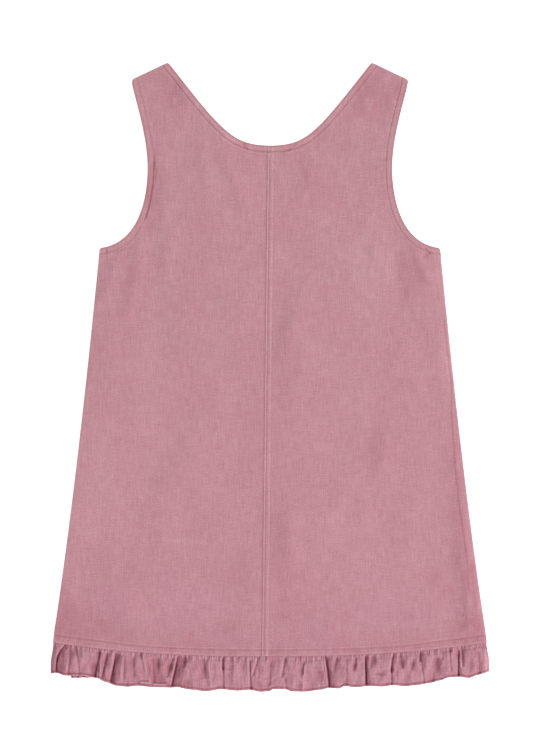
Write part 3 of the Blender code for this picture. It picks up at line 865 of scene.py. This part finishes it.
# Soft folds of the front: from, to, half width and height in mm
FRONT_FOLDS = (
    # x0, y0, x1, y1, half width, height
    (-98, 264, -91, 238, 6.0, 0.30),
    (106, 252, 97, 214, 7.0, 0.34),
    (-58, 214, -30, 178, 5.0, 0.34),
    (30, 206, 54, 166, 4.0, 0.30),
    (-146, 112, -122, 86, 4.0, 0.42),
    (-150, 98, -136, 58, 5.0, 0.30),
    (148, 110, 131, 58, 5.0, 0.44),
    (-12, 128, -22, 60, 8.0, 0.30),
    (70, 96, 58, 16, 9.0, 0.38),
    (-92, 62, -106, -26, 9.0, 0.42),
    (-158, 12, -167, -54, 6.0, 0.36),
    (158, -18, 169, -88, 7.0, 0.42),
    (18, -34, 36, -114, 11.0, 0.36),
    (-62, -96, -42, -178, 9.0, 0.44),
    (112, -120, 126, -210, 10.0, 0.44),
    (-148, -164, -172, -230, 8.0, 0.44),
    (-10, -184, 4, -240, 7.0, 0.32),
    (186, -180, 177, -234, 5.0, 0.38),
)


def front_relief(trees):
    """The front's outer face as a function: height, wall, and the painted shade and painted light, with some
    wear, of its colour.
    """
    def relief(x, y):
        reaches, _ = from_edges(trees, abs(x), y)
        from_neck, from_arm, from_side, from_shoulder = reaches
        edge = min(from_neck, from_arm)
        above = y - hem_line(x)
        past_row = above - hem_band(x)
        drop = nose(edge, TURNED / 2)
        wall = max(THINNEST, (TURNED if edge < BAND or past_row < 0.0 else CLOTH) - 2 * drop)
        rim = nose(min(from_side, from_shoulder), FRONT_ROLL)
        clear = smooth(edge / 0.012) * smooth(from_side / 0.012) * smooth(above / 0.02)
        swell = FRONT_WAVES * (0.5 + 0.5 * noise.noise(Vector((x / 0.030, y / 0.060, 21.0))))
        swell += 0.001 * folded(FRONT_FOLDS, x * 1000, y * 1000)
        lift = kept_between(0.0, swell, FRONT_HIGHEST, 0.0001) * clear
        groove = 0.00020 * (bell((edge - BAND) / 0.0005) + bell((past_row - 0.0006) / 0.0005))
        # Painted shade and light along the edges and the hem, and the back's painted patches and crease
        # shade, mirrored, with some wear
        wear_and_painted_shade = edges_light_and_shade(from_neck, from_arm, x, above)
        wear_and_painted_shade += shade_and_dye_patches(-x * 1000, y * 1000) - thin_creases(-x * 1000, y * 1000)
        return lift + groove + drop + rim, wall, wear_and_painted_shade

    return relief


front_cloth = cloth_finish("front_cloth", PINKS, TOWARDS_HEM, PANEL_DYE, PANEL_WEAVE)
outer_relief = front_relief(edge_trees(0.0))
front_plan = half_plan(0.0, 0, FRONT_ROWS, FRONT_COLUMNS)
front_mesh = panel_mesh(front_plan, 1, outer_relief, FRONT_CUT_FROM, whole=True)
front = add_cloth("front_cloth", "front", front_mesh, front_cloth)

# ---- Ruffle of the back ----------------------------------------------------------------------------
# A straight strip of the same cloth, gathered into the hem's seam and let fall. It stands up over the
# seam in puffs with sharp clefts between them, and its lower edge has a narrow rolled hem.
RUFFLE_WIDTH = 0.4193
RUFFLE_COLUMNS, RUFFLE_ROWS = 830, 46
TUCK = 0.0040                # hidden inside the hem
FLARE = 0.70                 # widest from this share of its drop
SEWN_REACH = 0.0045          # its ends go down to the side seams over this length
INSIDE_SEAM = 0.0003         # its ends stop short of the hem's by this at the seam
ROWS_CROWD = 1.12            # power by which the rows crowd towards the lower edge
GATHERING = 1.30             # its flat length for each length of the seam
FOLDS_REACH = 26             # from a fold's middle, in mm
SHARP = 0.6                  # a fold with less reach to its left is a sharp one, in mm
FOLDS_KEPT = 0.78            # share of the folds' depths
FOLD_EASE = 0.05             # share of the drop over which a fold starts or ends, to each side
FOLD_POWER = 1.15            # a fold's flanks are a little hollow

# Folds: x at the seam and at the lower edge, in mm; how it bends; from and to, as shares of the drop;
# depth, and reach to the left and to the right, in mm. A minus sign raises a ridge.
RUFFLE_FOLDS = (
    # seam, foot, bend, from, to, depth, left, right
    (-206.5, -206.5, 1.0, 0.00, 0.20, 2.2, 0.8, 1.4),
    (-195.0, -204.5, 3.0, 0.00, 1.05, 4.6, 0.4, 5.2),
    (-191.0, -193.6, 0.5, 0.15, 0.98, 2.0, 1.0, 1.6),
    (-186.8, -182.2, 2.0, 0.02, 0.96, 1.5, 0.9, 1.0),
    (-178.5, -178.5, 1.0, 0.08, 0.62, -0.6, 3.4, 3.0),
    (-162.2, -167.4, 1.0, 0.10, 0.98, 4.2, 3.4, 1.2),
    (-162.8, -164.0, 1.0, 0.10, 0.96, 1.6, 0.8, 0.7),
    (-155.0, -161.5, 1.0, 0.10, 0.92, 3.0, 0.7, 1.8),
    (-146.5, -152.8, 1.0, 0.10, 0.96, 4.6, 0.4, 4.2),
    (-138.5, -140.5, 1.0, 0.18, 0.80, 1.8, 0.8, 1.8),
    (-131.0, -129.5, 1.0, 0.15, 0.70, 1.3, 2.6, 1.6),
    (-122.5, -114.0, 1.0, 0.05, 0.96, -1.6, 1.2, 2.2),
    (-118.0, -116.0, 1.0, 0.20, 0.75, 1.4, 2.4, 1.8),
    (-112.0, -111.0, 1.0, 0.14, 0.86, 3.4, 1.6, 5.0),
    (-91.5, -100.5, 1.3, 0.10, 0.68, 2.8, 2.8, 1.8),
    (-87.5, -94.5, 1.0, 0.05, 0.94, 4.8, 0.4, 5.4),
    (-82.5, -82.5, 1.0, 0.06, 0.34, 1.6, 1.6, 1.6),
    (-63.5, -62.0, 1.0, 0.06, 0.62, 1.7, 3.0, 2.2),
    (-59.4, -55.8, 1.0, 0.08, 0.86, -0.9, 1.2, 0.9),
    (-45.2, -45.0, 1.0, 0.05, 0.42, 4.2, 0.7, 0.9),
    (-45.0, -44.6, 1.0, 0.30, 1.05, 1.9, 0.7, 0.9),
    (-34.0, -35.0, 1.0, 0.04, 0.60, -1.2, 1.2, 1.2),
    (-19.8, -18.6, 1.0, 0.10, 1.05, 2.8, 0.7, 1.4),
    (-10.8, -21.0, 1.0, 0.02, 0.58, 2.4, 0.8, 1.2),
    (0.5, -1.0, 1.0, 0.15, 0.82, 2.0, 3.2, 2.6),
    (14.6, 9.0, 1.0, 0.02, 0.62, 2.6, 0.8, 1.6),
    (11.8, 15.3, 1.0, 0.66, 1.05, 2.0, 0.9, 1.2),
    (32.5, 29.5, 1.0, 0.16, 0.52, 2.0, 2.4, 1.4),
    (33.5, 31.5, 1.0, 0.22, 1.00, -2.2, 7.5, 1.2),
    (50.0, 54.5, 1.0, 0.08, 0.46, 1.4, 0.8, 0.9),
    (52.6, 56.2, 1.5, 0.00, 1.05, 4.6, 0.5, 2.6),
    (63.8, 57.0, 1.0, 0.04, 0.50, 2.0, 0.9, 3.0),
    (73.2, 73.0, 1.0, 0.12, 0.96, 1.5, 3.0, 1.3),
    (82.5, 76.0, 1.0, 0.06, 0.46, 1.9, 1.1, 1.6),
    (90.8, 91.5, 1.0, 0.06, 0.94, 4.6, 0.5, 1.9),
    (98.0, 93.0, 1.0, 0.05, 0.40, 1.4, 1.0, 1.2),
    (106.0, 106.0, 1.0, 0.00, 0.14, 2.0, 0.8, 0.8),
    (117.8, 115.4, 3.0, 0.00, 0.58, 4.4, 0.7, 1.4),
    (115.6, 115.8, 1.0, 0.40, 1.05, 2.2, 0.7, 0.9),
    (122.5, 131.0, 1.0, 0.06, 0.47, 2.2, 1.4, 1.6),
    (138.5, 131.5, 1.0, 0.18, 0.54, 1.8, 1.4, 2.2),
    (143.5, 141.0, 1.0, 0.00, 0.32, 3.6, 0.7, 1.0),
    (142.5, 147.2, 1.0, 0.26, 1.05, 1.4, 0.6, 0.8),
    (161.5, 154.5, 1.0, 0.28, 1.00, 2.4, 3.8, 3.0),
    (164.5, 164.5, 1.0, 0.08, 0.36, 1.1, 1.0, 1.0),
    (171.0, 173.5, 1.0, 0.06, 0.82, 1.7, 1.4, 1.1),
    (180.0, 179.6, 1.0, 0.12, 0.98, 3.8, 0.8, 0.9),
    (182.6, 184.2, 1.0, 0.00, 0.66, 3.8, 0.6, 2.6),
    (198.5, 199.5, 1.0, 0.22, 0.94, 1.2, 2.0, 1.4),
    (205.2, 205.2, 1.0, 0.00, 0.18, 1.8, 0.8, 0.8),
)

# Soft hollows between the folds: middle in mm and as a share of the drop, reach across in mm and down as a
# share, depth in mm
RUFFLE_HOLLOWS = (
    # x, share, across, down, depth
    (-188.0, 0.24, 3.2, 0.16, 1.4),
    (-175.0, 0.70, 5.0, 0.22, -0.6),
    (-168.5, 0.74, 3.0, 0.26, 2.4),
    (-160.0, 0.50, 1.8, 0.22, 1.8),
    (-134.0, 0.38, 3.4, 0.16, 1.5),
    (-131.0, 0.72, 3.0, 0.12, 1.1),
    (-115.5, 0.52, 2.2, 0.22, 1.8),
    (-107.5, 0.30, 2.4, 0.20, 2.2),
    (-106.5, 0.68, 5.0, 0.20, 1.6),
    (-95.5, 0.38, 2.8, 0.13, 2.8),
    (-83.0, 0.20, 3.6, 0.14, 2.6),
    (-78.0, 0.75, 6.0, 0.16, 1.1),
    (-64.0, 0.34, 2.6, 0.16, 1.6),
    (-40.0, 0.62, 3.0, 0.20, 0.9),
    (-27.0, 0.30, 3.0, 0.16, 1.1),
    (-12.0, 0.82, 4.0, 0.12, 1.7),
    (29.0, 0.40, 2.6, 0.16, 2.6),
    (26.0, 0.82, 3.4, 0.12, 2.0),
    (45.0, 0.60, 6.0, 0.22, 1.8),
    (60.0, 0.26, 4.4, 0.18, 1.8),
    (80.5, 0.34, 2.4, 0.14, 1.8),
    (80.5, 0.70, 4.0, 0.20, -0.7),
    (99.0, 0.20, 3.0, 0.12, 2.2),
    (105.0, 0.62, 4.8, 0.09, 1.6),
    (125.5, 0.34, 2.6, 0.14, 2.2),
    (135.5, 0.36, 2.8, 0.10, 2.2),
    (151.0, 0.40, 4.0, 0.20, -0.8),
    (160.0, 0.56, 3.4, 0.26, 2.2),
    (178.5, 0.24, 2.6, 0.16, 1.8),
    (190.0, 0.66, 4.0, 0.16, 1.0),
    (203.0, 0.16, 2.6, 0.14, 1.4),
)

# Short creases across the ruffle: from and to in mm, share of the drop, depth in mm
CROSS_CREASES = (
    # x0, x1, share, depth
    (-124, -116, 0.83, 1.6),
    (-112, -99, 0.86, 1.6),
    (41, 50, 0.34, 0.5),
    (97, 111, 0.62, 0.5),
    (-8, 1, 0.62, 0.4),
    (-45, -35, 0.38, 0.5),
    (118, 126, 0.44, 0.4),
    (-90, -78, 0.20, 0.4),
    (60, 66, 0.75, 0.3),
    (16, 30, 0.60, 0.3),
)

# Small waves: width in mm, how many go down the drop, seed, height in mm, where down the drop they start
# to fade out or to grow, and over which share of it
PUCKERS = (
    # width, times, seed, height, from, over, fades
    (3.6, 1.8, 31.0, 1.50, 0.02, 0.30, True),
    (1.2, 3.0, 37.0, 0.95, 0.00, 0.20, True),
    (7.0, 2.6, 41.0, 1.20, 0.00, 0.30, False),
    (2.6, 7.0, 43.0, 0.35, 0.00, 0.30, False),
)

# The lower edge: how far it hangs below the seam, in mm
SCALLOPS = (
    # x, drop
    (-209.3, 29.9), (-203.5, 28.6), (-196.0, 29.9), (-186.0, 28.5), (-178.0, 27.6), (-165.0, 28.4),
    (-157.0, 31.2), (-146.0, 33.8), (-138.0, 33.9), (-125.0, 32.1), (-112.0, 32.4), (-96.0, 31.9),
    (-89.0, 31.2), (-76.0, 32.8), (-62.0, 33.9), (-45.5, 31.7), (-32.0, 32.8), (-19.5, 32.0), (-8.0, 33.8),
    (-1.0, 33.2), (3.0, 31.4), (14.0, 31.2), (21.0, 33.4), (34.0, 33.8), (48.0, 32.2), (56.0, 30.8),
    (66.0, 31.4), (71.5, 29.4), (82.0, 30.9), (94.0, 30.3), (108.0, 31.5), (117.0, 30.9), (130.0, 32.8),
    (141.0, 32.5), (152.0, 31.8), (162.0, 30.4), (170.0, 28.5), (180.0, 29.0), (190.0, 31.3), (198.0, 29.8),
    (205.0, 28.8), (209.3, 28.0),
)

# Height of the ruffle's face down its drop
RUFFLE_PROFILE = (
    # share, height in mm
    (-0.20, 3.7), (0.00, 3.9), (0.06, 4.7), (0.20, 6.3), (0.40, 7.2), (0.65, 7.3), (0.88, 6.8), (1.00, 6.4),
)


def eased(table, at):
    """Value of a two-column table at one place, with rounded steps."""
    for (a, low), (b, high) in zip(table, table[1:]):
        if at <= b:
            return low + (high - low) * smooth((at - a) / (b - a))
    return table[-1][1]


def gathered(x, share):
    """Height that the folds add at one point, and the painted shade in under its folds and at its cross
    creases, with a painted light line below each cross crease, all in mm.
    """
    total = tuck_shade = 0.0
    for seam, foot, bend, start, end, depth, left, right in RUFFLE_FOLDS:
        if abs(x - (seam + foot) / 2) > FOLDS_REACH:
            continue
        middle = foot + (seam - foot) * (1.0 - min(1.0, max(0.0, share))) ** bend
        off = x - middle
        reach = left if off < 0 else right
        grown = smooth((share - start + FOLD_EASE) / (2 * FOLD_EASE))
        grown *= smooth((end + FOLD_EASE - share) / (2 * FOLD_EASE))
        total -= depth * grown * math.exp(-(abs(off) / reach) ** FOLD_POWER)
        if left < SHARP:
            tuck_shade += depth * grown * bell((off - 0.3) / 0.55)
    for middle, at, across, down, depth in RUFFLE_HOLLOWS:
        if abs(x - middle) < 2.5 * across:
            total -= depth * bell((x - middle) / across) * bell((share - at) / down)
    for x0, x1, at, depth in CROSS_CREASES:
        if x0 - 4 < x < x1 + 4:
            ends = smooth((x - x0 + 2) / 4) * smooth((x1 + 2 - x) / 4)
            total -= depth * ends * bell((share - at) / 0.022)
            total += depth * 0.6 * ends * bell((share - at - 0.055) / 0.030)
            shadow = 0.9 * bell((share - at) / 0.018) - 3.0 * bell((share - at - 0.046) / 0.020)
            tuck_shade += (depth - 0.3) * ends * shadow
    total *= FOLDS_KEPT
    for across, times, seed, high, start, over, fades in PUCKERS:
        grown = smooth((share - start) / over)
        wave = noise.noise(Vector((x / across, share * times, seed)))
        total += wave * high * (1.0 - grown if fades else grown)
    return total - 0.4 * tuck_shade, tuck_shade


def rolled_hem(from_edge):
    """Relief of the narrow rolled hem, by the distance from the lower edge in metres."""
    return (0.35 * bell((from_edge - 0.0008) / 0.0006) - 0.95 * bell((from_edge - 0.0021) / 0.0007)
            - 0.8 * nose(from_edge, 0.0005) * 1000)


SHADE_IN_TUCKS = 1.5           # painted shade for each mm in under a fold
SHADE_IN_HOLLOWS = 1.5         # and for each mm of a hollow's depth
SHADE_ON_SLOPES = 3.2          # and for each unit of slope on the left side of a crest, which faces away from the lamp,
RIGHT_SLOPES = 0.6           # or this share of it on the right side,
MOST_SLOPE = 1.3             # up to this slope
LEAST_ACROSS = 0.9           # slopes are measured over no less than this, in mm
HIGHLIGHT_ON_CRESTS = 5.0            # painted highlight for each mm that a crest stands out,
MOST_CREST = 0.7             # up to this many mm


def ruffle_mesh(relief, scallops, heights, low, high, sewn, cut_from):
    """A gathered strip as a thin shell, its face from low to high, and at sewn at its ends, in mm."""
    mesh, flat, wear_shade_layer = new_cloth()
    vertices = grid(mesh, RUFFLE_COLUMNS, RUFFLE_ROWS)
    lifts = []
    for index, vertex in enumerate(vertices):
        row, column = divmod(index, RUFFLE_COLUMNS + 1)
        crowded = 1.0 - (1.0 - row / RUFFLE_ROWS) ** ROWS_CROWD
        share = -TUCK / RUFFLE_DROP + (1.0 + TUCK / RUFFLE_DROP) * crowded
        end = HEM_WIDTH / 2 - INSIDE_SEAM + (RUFFLE_WIDTH - HEM_WIDTH) / 2 * smooth(share / FLARE)
        x = end * (2.0 * column / RUFFLE_COLUMNS - 1.0)
        drop = eased(scallops, x * 1000) / 1000
        from_edge = (1.0 - share) * drop
        lift, tuck_shade = relief(x * 1000, share)
        lift = (lift + rolled_hem(from_edge)) * smooth((share + 0.02) / 0.06)
        height = kept_between(low, eased(heights, share) + lift, high) / 1000
        height += (sewn / 1000 - height) * (1.0 - smooth((end - abs(x)) / SEWN_REACH))
        vertex.co = (x, hem_line(x) - drop * share, height)
        vertex[flat] = Vector((x * GATHERING + cut_from, -drop * share, 0.0))
        lifts.append(lift)
        # Painted highlight on the rolled hem's bead, painted shade in the groove above it, painted light and
        # shade of the small gathers, and a painted shadow under the hem's strip at the seam
        hem_and_gather_shade = 0.9 * bell((from_edge - 0.0006) / 0.0007) - 4.6 * bell((from_edge - 0.0021) / 0.0006)
        pinched = noise.noise(Vector((x * 1000 / 1.15, share * 4.0, 39.0)))
        hem_and_gather_shade += 6.0 * pinched * (1.0 - smooth((share - 0.04) / 0.16)) - 1.2 * bell(share / 0.035)
        vertex[wear_shade_layer] = hem_and_gather_shade - SHADE_IN_TUCKS * tuck_shade
    # Painted shade in the hollows and on the slopes that face away from the lamp, and painted highlights on
    # the crests
    for index, vertex in enumerate(vertices):
        left, right = max(index - 2, 0), min(index + 2, len(vertices) - 1)
        across = (vertices[right].co.x - vertices[left].co.x) * 1000
        slope = (lifts[right] - lifts[left]) / max(LEAST_ACROSS, across)
        shaded = min(MOST_SLOPE, slope if slope > 0 else -RIGHT_SLOPES * slope)
        crest = lifts[index] - (lifts[left] + lifts[right]) / 2
        vertex[wear_shade_layer] += SHADE_IN_HOLLOWS * min(0.0, lifts[index]) - SHADE_ON_SLOPES * shaded
        vertex[wear_shade_layer] += HIGHLIGHT_ON_CRESTS * min(MOST_CREST, max(0.0, crest))
    mesh.normal_update()
    walls = [vertex.normal * CLOTH * (1 if vertex.normal.z > 0 else -1) for vertex in mesh.verts]
    close(mesh, walls)
    return mesh


RUFFLE_DYE = {"Warp": 0.34, "Weft": 0.34, "Grain": 0.38, "Blotches": 0.22, "Clouds": 0.10}
RUFFLE_PINKS = ((0.430, 0.1955, 0.2375, 1.0), (0.416, 0.1990, 0.2400, 1.0))
RUFFLE_WEAVE = 0.00022
ruffle_cloth = cloth_finish("ruffle_cloth", RUFFLE_PINKS, (0.0, 0.0, 0.0), RUFFLE_DYE, RUFFLE_WEAVE)
ruffle_back = add_cloth(
    "ruffle_back_cloth", "ruffle_back",
    ruffle_mesh(gathered, SCALLOPS, RUFFLE_PROFILE, low=2.9, high=8.4, sewn=2.9, cut_from=2.1), ruffle_cloth,
)

# ---- Ruffle of the front ---------------------------------------------------------------------------
# The same strip under the front's hem, with its outer face down. It lies flatter, because the back's
# ruffle rests on it, and peeks out below it at the left.
FRONT_PROFILE = (
    # share, height in mm
    (-0.20, 1.6), (0.00, 1.5), (0.10, 1.3), (0.30, 1.3), (0.60, 1.4), (0.90, 1.3), (1.00, 1.2),
)

# Its lower edge at the left end, where it shows: how far it hangs below the seam, in mm
FRONT_SCALLOPS = (
    # x, drop
    (-209.3, 29.0), (-191.5, 28.6), (-189.3, 31.8), (-184.9, 31.1), (-177.2, 29.8), (-168.5, 28.8),
    (-166.0, 27.5),
)


def pressed(x, share):
    """Folds of a strip that is gathered alike and pressed flat under the back's, all in mm."""
    lift, tuck_shade = gathered(-x, share)
    lean = 4.0 * share * noise.noise(Vector((x / 60.0, 0.0, 51.0)))
    lean += 9.0 * noise.noise(Vector((x / 40.0, 0.0, 55.0)))
    lean += 2.5 * noise.noise(Vector((x / 9.0, share * 0.8, 53.0)))
    wave = 1.3 * math.sin(2.0 * math.pi * (x + lean) / 6.0)
    return wave * (0.75 + 0.6 * noise.noise(Vector((x / 14.0, share, 57.0)))) - 0.2 * lift, 0.7 * tuck_shade


front_scallops = FRONT_SCALLOPS + tuple((x, drop - 0.9) for x, drop in SCALLOPS if x > FRONT_SCALLOPS[-1][0])
ruffle_front = add_cloth(
    "ruffle_front_cloth", "ruffle_front",
    ruffle_mesh(pressed, front_scallops, FRONT_PROFILE, low=0.5, high=2.4, sewn=2.4, cut_from=3.1),
    ruffle_cloth,
)

# ---- Topstitching ----------------------------------------------------------------------------------
# Lockstitches in a thread dyed with the cloth. A row follows the neck and the armholes at the inner
# edge of their turned bands and one runs above the ruffle's seam, on the back and on the front, and two
# hold the felled centre seam.
STITCH = 0.0021              # from one needle hole to the next
STITCH_HALF = 0.40           # half of what shows of a stitch, as a share of that
THREAD = 0.00030
STANDS_OUT = 0.15            # share of the thread by which its middle is off the cloth
HEM_STEPS = 160              # of the line that the hem's row follows
FROM_SEAM = 0.0006           # from the hem's strip to its row, and from the seam to the centre rows
ROW_END = 0.0020             # the hem's row stops this far inside the side seams
FROM_NECK = 0.0008           # the first centre row starts this far under the neck's edge
thread_finish, thread_tree, thread_surface = new_finish("sewing_thread", {"Sheen Weight": 0.1})
thread_place = new_node(thread_tree, "ShaderNodeTexCoord").outputs["Object"]
thread_dye = new_node(thread_tree, "ShaderNodeGroup", {
    "Vector": thread_place, "Grain": 0.4, "Blotches": 0.4,
}, node_tree=garment_dye)
thread_colour = new_node(thread_tree, "ShaderNodeVectorMath", {
    0: (0.370, 0.170, 0.200), "Scale": thread_dye.outputs["Dye"],
}, operation="SCALE")
twist = new_node(thread_tree, "ShaderNodeTexWave", {
    "Vector": thread_place, "Scale": 2600.0, "Distortion": 1.0,
})
thread_bump = new_node(thread_tree, "ShaderNodeBump", {
    "Height": twist.outputs["Fac"], "Strength": 0.4, "Distance": 0.00008,
})
thread_rough = math_node(thread_tree, "MULTIPLY_ADD", twist.outputs["Fac"], 0.15, 0.65)
link_surface(thread_tree, thread_surface, thread_colour, thread_bump, thread_rough)


def sew(mesh, line, relief, face=1):
    """A row of stitches along a plan line, each a short lens of thread sunk into the cloth at its ends.

    face is 1 where the cloth's outer face is up and -1 where it is down.
    """
    length = running(line)[-1]
    count = int(length / STITCH)
    places = along(line, [STITCH * (k + 0.5) * length / (count * STITCH) for k in range(count)])
    for before, here, after in zip([places[0]] + places, places, places[1:] + [places[-1]]):
        way = (after - before).normalized()
        z = relief(here.x, here.y)[0]
        turn = Matrix.Rotation(math.atan2(way.y, way.x), 4, "Z")
        size = Matrix.Diagonal((STITCH * STITCH_HALF, THREAD / 2, THREAD / 2, 1.0))
        place = Matrix.Translation((here.x, here.y, z + face * THREAD * STANDS_OUT))
        bmesh.ops.create_uvsphere(mesh, u_segments=6, v_segments=5, radius=1.0, matrix=place @ turn @ size)


def add_stitches(name, mesh):
    piece = new_object(name, mesh, thread_finish)
    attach(piece, "root")


def inset(lap, side):
    """The neck's and the armhole's rows of stitches on one half, as plan lines."""
    _, neck_band, arm_band = half_plan(lap, side)
    return [[Vector((row[-1].x * side, row[-1].y)) for row in band] for band in (neck_band, arm_band)]


def hem_row(x0, x1):
    """The row of stitches above the ruffle."""
    across = [x0 + (x1 - x0) * k / HEM_STEPS for k in range(HEM_STEPS + 1)]
    return [Vector((x, hem_line(x) + hem_band(x) + FROM_SEAM)) for x in across]


edge_stitches = bmesh.new()
for lap, side, relief in ((LAP_UNDER, -1, left_relief), (LAP_OVER, 1, right_relief)):
    for line in inset(lap, side):
        sew(edge_stitches, line, relief)
lap_at_hem = -LAP_OVER - leaning(HEM_LOW + HEM_BAND)
sew(edge_stitches, hem_row(-HEM_WIDTH / 2 + ROW_END, lap_at_hem), left_relief)
sew(edge_stitches, hem_row(lap_at_hem, HEM_WIDTH / 2 - ROW_END), right_relief)
add_stitches("edge_stitches", edge_stitches)

front_stitches = bmesh.new()
for side in (-1, 1):
    for line in inset(0.0, side):
        sew(front_stitches, line, outer_relief, face=-1)
sew(front_stitches, hem_row(-HEM_WIDTH / 2 + ROW_END, HEM_WIDTH / 2 - ROW_END), outer_relief, face=-1)
add_stitches("front_stitches", front_stitches)

# The row beside the folded edge starts at the neck's edge, the other under the neck's turned band
centre_stitches = bmesh.new()
foot = HEM_LOW + FROM_SEAM
for row, top in zip(LAP_ROWS, (NECK_LOW - FROM_NECK, NECK_LOW - BAND)):
    ends = [Vector((row - LAP_OVER - leaning(y), y)) for y in (top, foot)]
    sew(centre_stitches, ends, right_relief)
add_stitches("centre_stitches", centre_stitches)

# ---- Floor, light and camera -----------------------------------------------------------------------
# A white table under soft light: a wide lamp from the lower right and an even sky.
TABLE_HALF, BELOW = 6.0, 0.0002      # half the table's side, and how far under the dress it lies
WHITE = (1.0, 1.0, 1.0, 1.0)
stage_mesh = bmesh.new()
bmesh.ops.create_grid(stage_mesh, x_segments=1, y_segments=1, size=TABLE_HALF)
bmesh.ops.translate(stage_mesh, verts=stage_mesh.verts[:], vec=(0.0, 0.0, -BELOW))
table_finish, _, _ = new_finish("white_table", {
    "Base Color": (0.80, 0.80, 0.80, 1.0), "Roughness": 0.9, "Specular IOR Level": 0.1,
    "Emission Color": WHITE, "Emission Strength": 0.75,
})
table_top = new_object("table_top", stage_mesh, table_finish)

KEY_AZIMUTH, KEY_ELEVATION, KEY_DISTANCE = math.radians(-20), math.radians(48), 8.0
LAMP_SIDE, LAMP_WATTS, SKY_STRENGTH = 3.4, 655.0, 0.51
lamp = bpy.data.lights.new("window_lamp", "AREA")
lamp.shape = "SQUARE"
lamp.size = LAMP_SIDE
lamp.energy = LAMP_WATTS
lamp_object = bpy.data.objects.new("window_lamp", lamp)
towards = Vector((
    math.cos(KEY_ELEVATION) * math.cos(KEY_AZIMUTH),
    math.cos(KEY_ELEVATION) * math.sin(KEY_AZIMUTH),
    math.sin(KEY_ELEVATION),
))
lamp_object.location = towards * KEY_DISTANCE
lamp_object.rotation_euler = towards.to_track_quat("Z", "Y").to_euler()
bpy.context.scene.collection.objects.link(lamp_object)

sky = bpy.data.worlds.new("studio_sky")
sky.use_nodes = True
sky_light = sky.node_tree.nodes["Background"]
sky_light.inputs["Color"].default_value = WHITE
sky_light.inputs["Strength"].default_value = SKY_STRENGTH
bpy.context.scene.world = sky
bpy.context.scene.view_settings.view_transform = "Standard"

CAMERA_HEIGHT, CAMERA_DOWN = 3.0, 0.00072
SHARP_AT = 0.002             # height on the dress at which a pixel has its size
PIXEL = 0.0009553            # one pixel of the view on the dress
PIXELS_HIGH = 756
SENSOR = 36.0
camera = bpy.data.cameras.new("camera")
camera.sensor_width = SENSOR
camera.lens = SENSOR * (CAMERA_HEIGHT - SHARP_AT) / (PIXELS_HIGH * PIXEL)
camera_object = bpy.data.objects.new("camera", camera)
camera_object.location = (0.0, -CAMERA_DOWN, CAMERA_HEIGHT)
bpy.context.scene.collection.objects.link(camera_object)
bpy.context.scene.camera = camera_object
